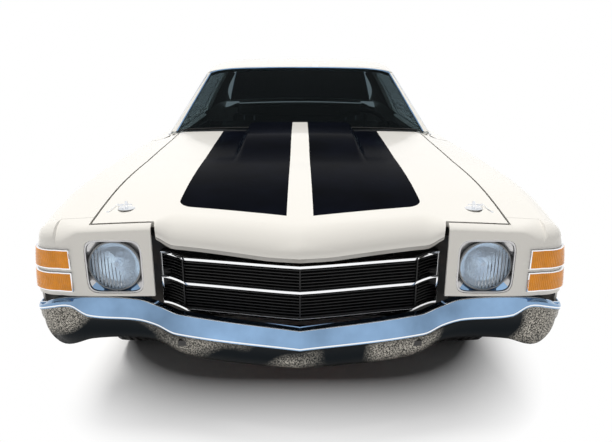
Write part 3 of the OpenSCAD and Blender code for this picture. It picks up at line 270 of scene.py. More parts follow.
class Solid:
    """Collects closed shells, in millimetres, for one piece."""

    def __init__(self):
        self.v, self.f, self.m = [], [], []

    def add(self, verts, faces, mat=0):
        base = len(self.v)
        self.v += [tuple(p) for p in verts]
        self.f += [[base + i for i in f] for f in faces]
        self.m += [mat] * len(faces)
        return self

    def shell(self, outer, inner, mat=0, inner_mat=None):
        n, m = len(outer), len(outer[0])
        k = n * m
        verts = [p for row in outer for p in row] + [p for row in inner for p in row]
        front, back = [], []
        for i in range(n - 1):
            for j in range(m - 1):
                a = i * m + j
                front.append([a, a + 1, a + m + 1, a + m])
                back.append([k + a, k + a + m, k + a + m + 1, k + a + 1])
        for i in range(n - 1):
            a, b = i * m, (i + 1) * m - 1
            front.append([a, a + m, k + a + m, k + a])
            front.append([b + m, b, k + b, k + b + m])
        for j in range(m - 1):
            a = (n - 1) * m + j
            front.append([j + 1, j, k + j, k + j + 1])
            front.append([a, a + 1, k + a + 1, k + a])
        self.add(verts, front + back, mat)
        if inner_mat is not None:
            self.m[-len(back):] = [inner_mat] * len(back)
        return self

    def sheet(self, point, us, vs, t, mat=0, inner_mat=None):
        """Panel between point(u, v, 0) and point(u, v, t)."""
        outer, inner = ([[point(u, v, depth) for v in vs] for u in us] for depth in (0, t))
        return self.shell(outer, inner, mat, inner_mat)

    def lathe(self, profile, at, axis="x", n=64, mat=0, mats=None):
        """Closed loop of (radius, height) turned about an axis through at."""
        k = len(profile)
        verts = []
        for i in range(n):
            a = 2 * math.pi * i / n
            for r, h in profile:
                c, s = r * math.cos(a), r * math.sin(a)
                d = {"x": (h, c, s), "y": (s, h, c), "z": (c, s, h)}[axis]
                verts.append((at[0] + d[0], at[1] + d[1], at[2] + d[2]))
        self.add(verts, ring_faces(n, k), mat)
        if mats:
            self.m[-n * k:] = mats * n
        return self

    def tube(self, points, r, n=10, mat=0, closed=False):
        """Round rod along points; r is a number or one for each point."""
        pts = [Vector(p) for p in points]
        count = len(pts)
        rs = r if isinstance(r, (list, tuple)) else [r] * count
        verts = []
        side = None
        for i, p in enumerate(pts):
            before, after = (i - 1, i + 1) if closed else (max(i - 1, 0), min(i + 1, count - 1))
            a, b = pts[before % count], pts[after % count]
            d = (b - a).normalized()
            if side is None:
                side = d.cross(Vector((0.3, 0.2, 1))).normalized()
            side = (side - d * side.dot(d)).normalized()
            up = d.cross(side)
            for k in range(n):
                turn = 2 * math.pi * k / n
                verts.append(tuple(p + rs[i] * (side * math.cos(turn) + up * math.sin(turn))))
        faces = ring_faces(count, n)
        if not closed:
            faces = faces[:(count - 1) * n] + [list(range(n)), [(count - 1) * n + k for k in range(n)]]
        return self.add(verts, faces, mat)

    def box(self, lo, hi, mat=0, matrix=None):
        c = [Vector((x, y, z)) for x in (lo[0], hi[0]) for y in (lo[1], hi[1]) for z in (lo[2], hi[2])]
        if matrix:
            c = [matrix @ p for p in c]
        faces = [[0, 1, 3, 2], [4, 6, 7, 5], [0, 4, 5, 1], [2, 3, 7, 6], [0, 2, 6, 4], [1, 5, 7, 3]]
        return self.add(c, faces, mat)

    def prism(self, loop, offset, mat=0):
        """Closed loop of 3-D points pushed along offset."""
        n = len(loop)
        top = [tuple(Vector(p) + Vector(offset)) for p in loop]
        faces = [list(range(n)), list(range(2 * n - 1, n - 1, -1))]
        faces += [[i, (i + 1) % n, n + (i + 1) % n, n + i] for i in range(n)]
        return self.add(list(loop) + top, faces, mat)

    def mirrored(self):
        n = len(self.v)
        faces, mats = list(self.f), list(self.m)
        self.v += [(-x, y, z) for x, y, z in self.v]
        self.f += [[n + i for i in reversed(f)] for f in faces]
        self.m += mats
        return self

    def flipped(self):
        self.v = [(-x, y, z) for x, y, z in self.v]
        self.f = [list(reversed(f)) for f in self.f]
        return self

    def make(self, name, body, slot, mats, bevel=1.2, angle=38, stands_for=(), segments=2):
        mesh = bpy.data.meshes.new(name)
        mesh.from_pydata([(x * MM, y * MM, z * MM) for x, y, z in self.v], [], self.f)
        for m in mats:
            mesh.materials.append(m)
        for p, m in zip(mesh.polygons, self.m):
            p.material_index = m
        bm = bmesh.new()
        bm.from_mesh(mesh)
        bmesh.ops.remove_doubles(bm, verts=bm.verts, dist=1e-5)
        bmesh.ops.dissolve_degenerate(bm, edges=bm.edges, dist=1e-6)
        bmesh.ops.recalc_face_normals(bm, faces=bm.faces)
        for f in bm.faces:
            f.smooth = True
        if not bevel:
            for e in bm.edges:
                if len(e.link_faces) == 2 and e.calc_face_angle(0) > math.radians(angle):
                    e.smooth = False
        bm.to_mesh(mesh)
        bm.free()
        obj = bpy.data.objects.new(name, mesh)
        bpy.context.scene.collection.objects.link(obj)
        if bevel:
            soften(obj, bevel, angle, segments)
        if stands_for:
            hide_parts(*stands_for)
        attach(obj, body)
        return obj


def punched(blank, tool):
    """Solid left when the tool is cut out of the blank; both blanks are used up."""
    mod = blank.modifiers.new("holes", "BOOLEAN")
    mod.operation, mod.object, mod.solver = "DIFFERENCE", tool, "EXACT"
    done = bpy.data.meshes.new_from_object(blank.evaluated_get(bpy.context.evaluated_depsgraph_get()))
    out = Solid()
    out.v = [tuple(v.co / MM) for v in done.vertices]
    out.f = [list(p.vertices) for p in done.polygons]
    out.m = [p.material_index for p in done.polygons]
    for o in (blank, tool):
        bpy.data.objects.remove(o)
    return out


def soften(obj, width, angle=38, segments=2):
    """Rounds the sharp edges and keeps the wide faces' normals flat."""
    b = obj.modifiers.new("edges", "BEVEL")
    b.width = width * MM
    b.segments = segments
    b.limit_method = "ANGLE"
    b.angle_limit = math.radians(angle)
    b.use_clamp_overlap = True
    w = obj.modifiers.new("normals", "WEIGHTED_NORMAL")
    w.keep_sharp = True


# ---- Materials ----
def shader(name):
    m = bpy.data.materials.new(name)
    m.use_nodes = True
    return m, m.node_tree, m.node_tree.nodes["Principled BSDF"]


def node(tree, kind, **inputs):
    n = tree.nodes.new(kind)
    for k, v in inputs.items():
        n.inputs[k].default_value = v
    return n


def noise(tree, scale, detail=3.0, stretch=(1, 1, 1)):
    """Noise over the piece's own coordinates, in metres."""
    coord = tree.nodes.new("ShaderNodeTexCoord")
    mapping = tree.nodes.new("ShaderNodeMapping")
    mapping.inputs["Scale"].default_value = stretch
    n = node(tree, "ShaderNodeTexNoise", Scale=scale, Detail=detail)
    tree.links.new(coord.outputs["Object"], mapping.inputs["Vector"])
    tree.links.new(mapping.outputs["Vector"], n.inputs["Vector"])
    return n.outputs["Fac"]


def ranged(tree, value, lo, hi, a=0.3, b=0.7):
    r = node(tree, "ShaderNodeMapRange")
    r.inputs["From Min"].default_value = a
    r.inputs["From Max"].default_value = b
    r.inputs["To Min"].default_value = lo
    r.inputs["To Max"].default_value = hi
    tree.links.new(value, r.inputs["Value"])
    return r.outputs["Result"]


def blend_colors(tree, fac, c1, c2):
    """Colour from c1 at fac 0 to c2 at fac 1; each is a colour or a socket."""
    m = tree.nodes.new("ShaderNodeMix")
    m.data_type = "RGBA"
    tree.links.new(fac, m.inputs["Factor"])
    for socket, c in ((m.inputs[6], c1), (m.inputs[7], c2)):
        if isinstance(c, (tuple, list)):
            socket.default_value = (*c[:3], 1)
        else:
            tree.links.new(c, socket)
    return m.outputs[2]


def bump(tree, bsdf, height, strength, distance=0.001):
    b = node(tree, "ShaderNodeBump", Strength=strength, Distance=distance)
    tree.links.new(height, b.inputs["Height"])
    tree.links.new(b.outputs["Normal"], bsdf.inputs["Normal"])
    return b


def finish(name, color, rough, metallic=0.0, spread=0.05, mottle=5.0, rough_spread=0.06, grain=300.0,
           grain_strength=0.05, coat=0.0, spec=0.5, dirt=None, dirt_amount=0.5, stretch=(1, 1, 1),
           emit=None):
    """Principled surface with mottled colour, uneven roughness, fine grain and, if wanted, dirt or wear."""
    m, tree, b = shader(name)
    c1 = tuple(max(c * (1 - spread), 0) for c in color[:3])
    c2 = tuple(min(c * (1 + spread), 1) for c in color[:3])
    col = blend_colors(tree, ranged(tree, noise(tree, mottle, 4), 0, 1), c1, c2)
    if dirt:
        col = blend_colors(tree, ranged(tree, noise(tree, mottle * 2.3, 8), 0, dirt_amount, 0.48, 0.72),
                           col, dirt)
    tree.links.new(col, b.inputs["Base Color"])
    tree.links.new(ranged(tree, noise(tree, mottle * 3, 5), max(rough - rough_spread, 0.02),
                          rough + rough_spread),
                   b.inputs["Roughness"])
    b.inputs["Metallic"].default_value = metallic
    b.inputs["Coat Weight"].default_value = coat
    b.inputs["Coat Roughness"].default_value = 0.04
    b.inputs["Specular IOR Level"].default_value = spec
    if grain_strength:
        bump(tree, b, noise(tree, grain, 2, stretch), grain_strength)
    if emit:
        b.inputs["Emission Color"].default_value = (*color[:3], 1)
        b.inputs["Emission Strength"].default_value = emit
    return m


WHITE = (0.82, 0.80, 0.755)
white_paint = finish("white_paint", WHITE, 0.24, spread=0.012, mottle=2.0, grain=700, grain_strength=0.012,
                     coat=0.35, spec=0.3)
inner_paint = finish("inner_paint", (0.4, 0.39, 0.37), 0.45, spread=0.06, dirt=(0.2, 0.18, 0.15),
                     dirt_amount=0.4)
black_paint = finish("black_paint", (0.006, 0.007, 0.009), 0.16, spread=0.2, grain=700,
                     grain_strength=0.012, spec=0.22)
chassis_paint = finish("chassis_paint", (0.025, 0.025, 0.026), 0.5, spread=0.3, grain=160,
                       grain_strength=0.15, dirt=(0.12, 0.09, 0.065), dirt_amount=0.5)
# Chrome painted blue-grey and darker than plated steel: a milder painted reflection of sky, on the rear
# bumper.
rear_painted_sky_chrome = finish("rear_painted_sky_chrome", (0.42, 0.47, 0.54), 0.09, metallic=1.0, spread=0.25, mottle=4,
                     rough_spread=0.03)
chrome = finish("chrome_plate", (0.83, 0.85, 0.88), 0.06, metallic=1.0, spread=0.02, rough_spread=0.025,
                grain=40, grain_strength=0.012)
# Chrome painted dark blue: a painted reflection of blue sky, used on the front bumper, the window trim and
# the lower step of the headlamp bezels.
sky_painted_chrome = finish("sky_painted_chrome", (0.22, 0.35, 0.53), 0.09, metallic=1.0, spread=0.35, mottle=4,
                       rough_spread=0.03, grain=28, grain_strength=0.06)


def painted_shade_chrome():
    """Plated face that looks down at the road: near black, a painted reflection of the shaded ground, with
    patches of coarse grey speckle.
    """
    m, tree, b = shader("bumper_underside_painted_shade")
    patch = ranged(tree, noise(tree, 3.2, 1), 0, 1, 0.44, 0.52)
    speck = ranged(tree, noise(tree, 230, 3), 0, 1, 0.42, 0.62)
    grey_speckle = blend_colors(tree, speck, (0.03, 0.03, 0.028), (0.42, 0.4, 0.36))
    tree.links.new(blend_colors(tree, patch, (0.008, 0.010, 0.012), grey_speckle), b.inputs["Base Color"])
    tree.links.new(ranged(tree, patch, 0.2, 0.4, 0, 1), b.inputs["Roughness"])
    b.inputs["Metallic"].default_value = 1.0
    bump(tree, b, noise(tree, 60, 2), 0.08)
    return m


bumper_shade = painted_shade_chrome()
satin_steel = finish("satin_steel", (0.5, 0.5, 0.51), 0.3, metallic=1.0, grain=900, grain_strength=0.04)
argent = finish("argent_paint", (0.22, 0.225, 0.23), 0.35, metallic=0.6, spread=0.08, grain=900,
                grain_strength=0.04)
grille_black = finish("grille_plastic", (0.012, 0.012, 0.013), 0.4, spread=0.3, grain=500,
                      grain_strength=0.08, spec=0.3)
rubber = finish("black_rubber", (0.018, 0.018, 0.018), 0.6, spread=0.2, grain=700, grain_strength=0.1,
                spec=0.3)
tyre_rubber = finish("tyre_rubber", (0.022, 0.022, 0.023), 0.72, spread=0.2, mottle=9, grain=900,
                     grain_strength=0.25, spec=0.3, dirt=(0.09, 0.08, 0.07), dirt_amount=0.35)
engine_paint = finish("engine_paint", (0.35, 0.06, 0.02), 0.42, spread=0.15, grain=120, grain_strength=0.25,
                      dirt=(0.04, 0.03, 0.025), dirt_amount=0.7)
exhaust_steel = finish("exhaust_steel", (0.36, 0.33, 0.3), 0.42, metallic=0.9, spread=0.15,
                       dirt=(0.16, 0.08, 0.04), dirt_amount=0.7)
interior_plastic = finish("interior_plastic", (0.018, 0.019, 0.02), 0.55, spread=0.15, grain=900,
                          grain_strength=0.25)
carpet = finish("carpet", (0.02, 0.02, 0.022), 0.95, spread=0.4, mottle=60, grain=900, grain_strength=0.8,
                spec=0.1)


def lens(name, color, rough=0.12, ribs=None, emit=0.0):
    """Moulded plastic lens with ribs; ribs is (scale per metre, axis), and emit is a faint painted glow that
    lifts the lens colour.
    """
    m, tree, b = shader(name)
    b.inputs["Base Color"].default_value = (*color, 1)
    col = blend_colors(tree, ranged(tree, noise(tree, 30, 3), 0, 1), tuple(c * 0.75 for c in color), color)
    tree.links.new(col, b.inputs["Base Color"])
    b.inputs["Roughness"].default_value = rough
    b.inputs["Coat Weight"].default_value = 0.15
    b.inputs["Specular IOR Level"].default_value = 0.25
    b.inputs["Emission Color"].default_value = (*color, 1)
    b.inputs["Emission Strength"].default_value = emit
    if ribs:
        coord = tree.nodes.new("ShaderNodeTexCoord")
        w = node(tree, "ShaderNodeTexWave", Scale=ribs[0], Distortion=0.0)
        w.wave_type = "BANDS"
        w.bands_direction = ribs[1]
        tree.links.new(coord.outputs["Object"], w.inputs["Vector"])
        bump(tree, b, w.outputs["Fac"], 0.7, 0.0015)
    return m


# Both lenses glow faintly: a painted glow that lifts their colour, as no lamp is lit.
amber = lens("amber_lens", (0.78, 0.27, 0.002), ribs=(45, "X"), emit=0.14)
red_lens = lens("red_lens", (0.5, 0.008, 0.006), ribs=(60, "Z"), emit=0.05)


def glass(name, tint, gloss, ripple=0.0):
    """Thin glass: tinted see-through with a Fresnel reflection."""
    m = bpy.data.materials.new(name)
    m.use_nodes = True
    tree = m.node_tree
    tree.nodes.clear()
    out = tree.nodes.new("ShaderNodeOutputMaterial")
    clear = tree.nodes.new("ShaderNodeBsdfTransparent")
    shine = node(tree, "ShaderNodeBsdfGlossy", Roughness=0.03)
    fres = node(tree, "ShaderNodeFresnel", IOR=1.45)
    scale = tree.nodes.new("ShaderNodeMath")
    scale.operation = "MULTIPLY"
    scale.inputs[1].default_value = gloss
    mixer = tree.nodes.new("ShaderNodeMixShader")
    c = blend_colors(tree, ranged(tree, noise(tree, 3, 2), 0, 1), tuple(t * 0.94 for t in tint), tint)
    tree.links.new(c, clear.inputs["Color"])
    tree.links.new(fres.outputs[0], scale.inputs[0])
    tree.links.new(scale.outputs[0], mixer.inputs[0])
    tree.links.new(clear.outputs[0], mixer.inputs[1])
    tree.links.new(shine.outputs[0], mixer.inputs[2])
    tree.links.new(mixer.outputs[0], out.inputs["Surface"])
    if ripple:
        coord = tree.nodes.new("ShaderNodeTexCoord")
        w = node(tree, "ShaderNodeTexWave", Scale=26.0, Distortion=0.0)
        w.bands_direction = "X"
        tree.links.new(coord.outputs["Object"], w.inputs["Vector"])
        b = node(tree, "ShaderNodeBump", Strength=ripple, Distance=0.002)
        tree.links.new(w.outputs["Fac"], b.inputs["Height"])
        for s in (shine, fres):
            tree.links.new(b.outputs["Normal"], s.inputs["Normal"])
    return m


# The windshield glass is darkened far past a real tint: painted shade for the dark cabin behind it.
tinted_glass = glass("tinted_glass", (0.30, 0.35, 0.37), 0.05)
side_glass = glass("side_glass", (0.9, 0.93, 0.93), 0.3)
# The rear window glass is near black: painted shade, so the cabin and the view out through it stay dark.
rear_glass = glass("rear_glass", (0.05, 0.07, 0.08), 0.2)
lamp_glass = glass("lamp_glass", (0.8, 0.84, 0.88), 1.0, ripple=0.6)


def maths(tree, op, a, b=None):
    n = tree.nodes.new("ShaderNodeMath")
    n.operation = op
    for i, v in enumerate((a, b)):
        if v is None:
            continue
        if isinstance(v, (int, float)):
            n.inputs[i].default_value = v
        else:
            tree.links.new(v, n.inputs[i])
    return n.outputs[0]


def striped_paint(name, front, front_slope, rear, corner=0.05):
    """White paint with two black stripes painted over it, the black tinted blue as a painted sheen; lengths
    in metres along the piece's own X and Y.
    """
    m, tree, b = shader(name)
    coord = tree.nodes.new("ShaderNodeTexCoord")
    xyz = tree.nodes.new("ShaderNodeSeparateXYZ")
    tree.links.new(coord.outputs["Object"], xyz.inputs[0])
    x = maths(tree, "ABSOLUTE", xyz.outputs["X"])
    y = xyz.outputs["Y"]
    gap = maths(tree, "ADD", maths(tree, "MULTIPLY", y, -0.0036), 0.0378)
    outer = 0.440
    inside_gap = maths(tree, "SUBTRACT", x, gap)
    from_front = maths(tree, "SUBTRACT", maths(tree, "SUBTRACT", y, front),
                       maths(tree, "MULTIPLY", x, front_slope))
    # Rounded outer front corner
    dx = maths(tree, "MAXIMUM", maths(tree, "SUBTRACT", x, outer - corner), 0.0)
    dy = maths(tree, "MAXIMUM", maths(tree, "SUBTRACT", corner, from_front), 0.0)
    squares = maths(tree, "ADD", maths(tree, "POWER", dx, 2.0), maths(tree, "POWER", dy, 2.0))
    round_in = maths(tree, "SUBTRACT", corner, maths(tree, "SQRT", squares))
    at_corner = maths(tree, "MINIMUM", from_front, maths(tree, "SUBTRACT", outer, x))
    both = maths(tree, "MULTIPLY", maths(tree, "GREATER_THAN", dx, 0.0),
                 maths(tree, "GREATER_THAN", dy, 0.0))
    edge = maths(tree, "ADD", maths(tree, "MULTIPLY", both, round_in),
                 maths(tree, "MULTIPLY", maths(tree, "SUBTRACT", 1.0, both), at_corner))
    d = maths(tree, "MINIMUM", maths(tree, "MINIMUM", edge, inside_gap), maths(tree, "SUBTRACT", rear, y))
    mask = maths(tree, "GREATER_THAN", d, 0.0)
    white = blend_colors(tree, ranged(tree, noise(tree, 2.0, 4), 0, 1), tuple(c * 0.99 for c in WHITE),
                         tuple(c * 1.01 for c in WHITE))
    # The stripes' black leans to dark blue: a painted sheen of sky reflection, as the stripes themselves
    # reflect almost nothing.
    black = blend_colors(tree, ranged(tree, noise(tree, 5.0, 4), 0, 1), (0.0015, 0.002, 0.0035),
                         (0.003, 0.004, 0.008))
    tree.links.new(white, b.inputs["Base Color"])
    b.inputs["Roughness"].default_value = 0.24
    b.inputs["Coat Weight"].default_value = 0.35
    b.inputs["Coat Roughness"].default_value = 0.04
    b.inputs["Specular IOR Level"].default_value = 0.3
    dark = tree.nodes.new("ShaderNodeBsdfPrincipled")
    tree.links.new(black, dark.inputs["Base Color"])
    dark.inputs["Roughness"].default_value = 0.16
    dark.inputs["Specular IOR Level"].default_value = 0.0025
    height = noise(tree, 700, 2)
    bump(tree, b, height, 0.012)
    bump(tree, dark, height, 0.012)
    mixer = tree.nodes.new("ShaderNodeMixShader")
    tree.links.new(mask, mixer.inputs[0])
    tree.links.new(b.outputs[0], mixer.inputs[1])
    tree.links.new(dark.outputs[0], mixer.inputs[2])
    tree.links.new(mixer.outputs[0], tree.nodes["Material Output"].inputs["Surface"])
    return m


hood_paint = striped_paint("hood_paint", -2.325, 0.225, -0.6)
deck_paint = striped_paint("deck_paint", 1.30, 0.0, 2.335)


def repaint(name, material, width=1.0):
    """Gives a CAD node its material and rounded edges."""
    obj = nodes[name]
    obj.data.materials.clear()
    obj.data.materials.append(material)
    for p in obj.data.polygons:
        p.material_index = 0
    if width:
        soften(obj, width, 32, 2)


# ---- Hood ----
def hood_piece():
    xs = sorted(set([round(x, 1) for x in steps(-HOOD_HALF, HOOD_HALF, 90)]
                    + [s * v for s in (-1, 1)
                       for v in [264, 268, 273, 279, 285, 290, 295, 301, 307, 312, 316, 486, 489, 491,
                                 493.5, 496, 498, 501, 700, 706, 708.5]]))
    vs = [0, 0.001, 0.0025, 0.005, 0.008, 0.012, 0.017, 0.022, 0.028, 0.034, 0.041, 0.048,
          0.056] + steps(0.075, 0.992, 46) + [0.997, 1]

    def point(x0, v, t):
        y = mix(hood_front(x0), hood_back(x0), v)
        x = x0 / HOOD_HALF * hood_x(max(y, HEADER_Y))
        return (x, y + (6 if t and v == 0 else 0), hood_top(x0, y) - t)

    s = Solid()
    s.sheet(point, xs, vs, HOOD_T, 0, 1)
    arms = Solid()
    hinge_x, hinge_y = HOOD_HALF - 18, HOOD_REAR + 10
    hinge_z = top_z(hinge_x, hinge_y) - 30
    arms.box((hinge_x - 6, hinge_y - 110, hinge_z - 8), (hinge_x + 6, hinge_y + 8, hinge_z + 9), 1)
    arms.mirrored()
    s.add(arms.v, arms.f, 1)
    s.make("hood_skin", "hood", "body_paint", [hood_paint, inner_paint], 1.6, 40, ["hood"])
    # Hood pins: plate, pin, clip and lanyard
    for side in (-1, 1):
        p = Solid()
        x, y = side * 623, -2230
        z = hood_top(x, y)
        p.lathe([(0.01, 0), (30, 0), (31, 1.5), (29, 3.5), (12, 4.5), (0.01, 4.5)], (x, y, z - 0.5), "z",
                40)
        p.lathe([(0.01, 0), (6, 0), (6, 22), (4, 26), (0.01, 27)], (x, y, z), "z", 20)
        clip = [(x - side * (22 - 44 * u), y - 2 + 5 * math.sin(3 * math.pi * u),
                 z + 13 + 3 * math.sin(math.pi * u))
                for u in steps(0, 1, 14)]
        p.tube(clip, 1.8, 8)
        ring = [(x + side * (22 + 9 * math.cos(a)), y + 9 * math.sin(a), z + 12)
                for a in steps(0, 2 * math.pi, 18)[:-1]]
        p.tube(ring, 1.6, 8, closed=True)
        wire = [(x + side * (30 + 30 * u), y + 26 * math.sin(1.6 * math.pi * u), 0)
                for u in steps(0, 1, 16)]
        wire = [(a, b, hood_top(a, b) + 3 + 8 * (1 - i / 16) ** 2) for i, (a, b, _) in enumerate(wire)]
        p.tube(wire, 1.2, 6)
        p.lathe([(0.01, 0), (6, 0), (6, 3), (0.01, 4)], (wire[-1][0], wire[-1][1], wire[-1][2] - 4), "z",
                16)
        p.make("hood_pin_" + ("right", "left")[side > 0], "hood", "chrome", [chrome], 0)


hood_piece()


# ---- Front fenders ----
def arch_lip(s, axle, low, mat=0):
    """Rolled lip around a wheel opening, on the side surface."""
    pts = []
    for i in range(49):
        a = math.pi * i / 48
        y = axle - (ARCH_R + 4) * math.cos(a)
        z = max(ARCH_Z + (ARCH_R + 4) * math.sin(a), low)
        pts.append((side_x(y, z) - 3, y, z))
    s.tube(pts, 5.5, 10, mat)


def fenders():
    ys = arch_stations(HEADER_Y + SEAM_GAP, DOOR_FRONT - SWING_GAP, FRONT_AXLE, 16)

    def low(y):
        return max(arch_low(y, FRONT_AXLE, SILL_Z + 10),
                   mix(410, SILL_Z + 10, smooth((y - HEADER_Y) / 290)))

    s = Solid()
    s.shell([side_rows(y, low(y), hood_x(y) + PANEL_GAP, 0) for y in ys],
            [side_rows(y, low(y), hood_x(y) + PANEL_GAP, SHEET) for y in ys], 0, 1)
    arch_lip(s, FRONT_AXLE, SILL_Z + 14)
    s.mirrored()
    s.make("fender_skins", "root", "body_paint", [white_paint, inner_paint], 1.4, 45, ["front_fenders"])
    # Side marker lamps
    m = Solid()
    y, z = -2130, 520
    x = side_x(y, z)
    m.box((x - 6, y - 62, z - 17), (x + 5, y + 62, z + 17), 0)
    m.box((x - 6, y - 56, z - 12), (x + 8, y + 56, z + 12), 1)
    m.mirrored()
    m.make("front_side_markers", "root", "amber_lens", [chrome, amber], 1.5)


fenders()

# ---- Headlamp panels, lamps and turn signals ----
CAP_X0, CAP_BOTTOM, CAP_T = CORNER_X + 9, 556.0, 10.0
BEZEL_W, BEZEL_H = 204.0, 200.0


def cap_column(u, t, low=CAP_BOTTOM, n=12):
    cx, zc = top_x(HEADER_Y), shoulder(HEADER_Y) - SHOULDER_RZ
    depth = HEADER_Y - nose_y(cx)
    arcs = [90 * i / n for i in range(n + 1)]
    if u <= 1:
        x = mix(CAP_X0, cx, u)
        ny = nose_y(x)
        rows = [(x, ny + t, mix(low, hood_top(x, ny), i / 8)) for i in range(8)]
        for a in arcs:
            s = max(math.cos(math.radians(a)), 0.012)
            y = mix(HOOD_SEAM_Y if x < HOOD_HALF + 10 else HEADER_Y, ny, s)
            rows.append((x, y + t * s, hood_top(x, y) - t * (1 - s)))
        return rows
    a = math.radians(90 * (2 - u))
    rows = []
    for i in range(8):
        z = mix(low, zc, i / 8)
        rows.append((cx + (side_x(HEADER_Y, z) - cx - t) * math.cos(a),
                     HEADER_Y - (depth - t) * math.sin(a), z))
    for b in arcs:
        s = max(math.cos(math.radians(b)), 0.012)
        rows.append((cx + (SHOULDER_RX - t) * math.cos(a) * s, HEADER_Y - (depth - t) * math.sin(a) * s,
                     zc + (SHOULDER_RZ - t) * math.sin(math.radians(b))))
    return rows


def rounded_square(w, h, r, n):
    """Outline of a rounded rectangle as (x, z) pairs, one for each of n angles."""
    out = []
    for i in range(n):
        a = 2 * math.pi * i / n
        c, s = math.cos(a), math.sin(a)
        p = 6.0
        k = 1 / (abs(c / (w / 2)) ** p + abs(s / (h / 2)) ** p) ** (1 / p)
        out.append((k * c, k * s))
    return out


def front_corner():
    at_step = (HOOD_HALF + 10 - CAP_X0) / (top_x(HEADER_Y) - CAP_X0)
    us = sorted(steps(0, 1, 30) + [at_step - 0.0006, at_step + 0.0006]) + steps(1, 2, 16)[1:]
    s = Solid()
    s.shell([cap_column(u, 0) for u in us], [cap_column(u, CAP_T) for u in us])
    panel = s.make("cap_blank", "root", "body_paint", [white_paint, inner_paint], 0)
    cutter = Solid()
    loop = [(LAMP_X + x, -2480, LAMP_Z + z) for x, z in rounded_square(BEZEL_W - 6, BEZEL_H - 4, 30, 64)]
    cutter.prism(loop, (0, 180, 0))
    tool = cutter.make("cap_tool", "root", "body_paint", [inner_paint], 0)
    out = punched(panel, tool)
    out.m = [0] * len(out.f)
    out.mirrored()
    out.make("headlamp_panel_skin", "root", "body_paint", [white_paint, inner_paint], 1.6, 40,
             ["headlamp_panel"])

    # Bezel: from the rounded square down to the lamp's ring
    lamp_y = nose_y(LAMP_X) + 6
    n = 96
    square = rounded_square(BEZEL_W - 8, BEZEL_H - 6, 30, n)
    inner = rounded_square(BEZEL_W - 18, BEZEL_H - 16, 30, n)
    circle = [(math.cos(2 * math.pi * i / n), math.sin(2 * math.pi * i / n)) for i in range(n)]
    rings = [[(x, 40, z) for x, z in square], [(x, -3, z) for x, z in square],
             [(x, -4, z) for x, z in inner], [(x * 0.985, 3, z * 0.985) for x, z in inner],
             [(96 * c, 13, 92.4 * s) for c, s in circle], [(92 * c, 15, 91 * s) for c, s in circle],
             [(91 * c, 24, 91 * s) for c, s in circle], [(91 * c, 40, 91 * s) for c, s in circle]]
    bezel = Solid()
    k = len(rings)
    verts = [(LAMP_X + p[0], lamp_y + p[1], LAMP_Z + p[2]) for ring in rings for p in ring]
    # The lower part of the sloped step inside each bezel gets the blue chrome: a painted reflection of sky on
    # the face that looks up.
    mats = [4 if i == 3 and square[j][1] < -0.42 * BEZEL_H else 1 if i in (1, 2, 3) else 0
            for i in range(k) for j in range(n)]
    bezel.add(verts, ring_faces(k, n))
    bezel.m[-k * n:] = mats
    # Dark ring that holds the lamp, the reflector and the glass
    bezel.lathe([(86, 2), (90.5, 4), (92, 9), (91.5, 16), (86, 16)], (LAMP_X, lamp_y, LAMP_Z), "y", 72, 0)
    bowl = [(r, 12 + 40 * (1 - (r / 86) ** 2)) for r in steps(86, 0.01, 14)]
    bezel.lathe(bowl + [(0.01, 58), (86, 20)], (LAMP_X, lamp_y, LAMP_Z), "y", 72, 3)
    bezel.lathe([(0.01, 22), (9, 22), (11, 30), (11, 52), (0.01, 52)], (LAMP_X, lamp_y, LAMP_Z), "y", 24, 2)
    bezel.mirrored()
    # The reflector glows faintly in its bluish silver: a painted glow for its bright reflection, as the
    # headlamp is not lit.
    reflector_painted_glow = finish("reflector", (0.72, 0.78, 0.86), 0.22, metallic=1.0, spread=0.25, mottle=16,
                           grain=60, grain_strength=0.1, emit=0.3)
    bezel.make("headlamp_bezels", "root", "chrome",
               [argent, satin_steel, chrome, reflector_painted_glow, sky_painted_chrome], 0, 30, ["headlamps"])
    lens_ = Solid()
    dome_ = [(r, 8 - 12 * (1 - (r / 86) ** 2)) for r in steps(0.01, 86, 14)]
    lens_.lathe(dome_ + [(86, 12), (0.01, 0.5)], (LAMP_X, lamp_y, LAMP_Z), "y", 72, 0)
    lens_.mirrored()
    lens_.make("headlamp_glass", "root", "lamp_glass", [lamp_glass], 0)


front_corner()


def signal_point(u, z, t):
    cx = top_x(HEADER_Y)
    depth = HEADER_Y - nose_y(cx)
    if u <= 1:
        x = mix(CAP_X0, cx, u)
        return (x, nose_y(x) - t, z)
    a = math.radians(90 * (2 - u))
    return (cx + (side_x(HEADER_Y, z) - cx + t) * math.cos(a), HEADER_Y - (depth + t) * math.sin(a), z)


def turn_signals():
    s = Solid()
    us = steps(0.87, 1, 5) + steps(1, 1.94, 18)[1:]
    frame_us = steps(0.855, 1, 5) + steps(1, 1.95, 18)[1:]
    for z in (574, 657):
        zs = steps(z + 4, z + 66, 8)
        s.shell([[signal_point(u, q, 8) for q in zs] for u in us],
                [[signal_point(u, q, 1) for q in zs] for u in us], 0)
        for a, b in ((z, z + 4), (z + 66, z + 70)):
            s.shell([[signal_point(u, q, 7) for q in (a, b)] for u in frame_us],
                    [[signal_point(u, q, 0.8) for q in (a, b)] for u in frame_us], 1)
        for a, b in ((0.855, 0.87), (1.94, 1.95)):
            s.shell([[signal_point(u, q, 7) for q in (z, z + 70)] for u in (a, b)],
                    [[signal_point(u, q, 0.8) for q in (z, z + 70)] for u in (a, b)], 1)
    s.mirrored()
    s.make("turn_signal_lamps", "root", "amber_lens", [amber, chrome], 1.0, 40, ["turn_signals"])


turn_signals()


# ---- Grille ----
def nose_line(x1, off, n=60):
    return [(x, nose_y(x) + off + 72 * clamp((abs(x) - 402) / 96, 0, 1)) for x in steps(-x1, x1, n)]


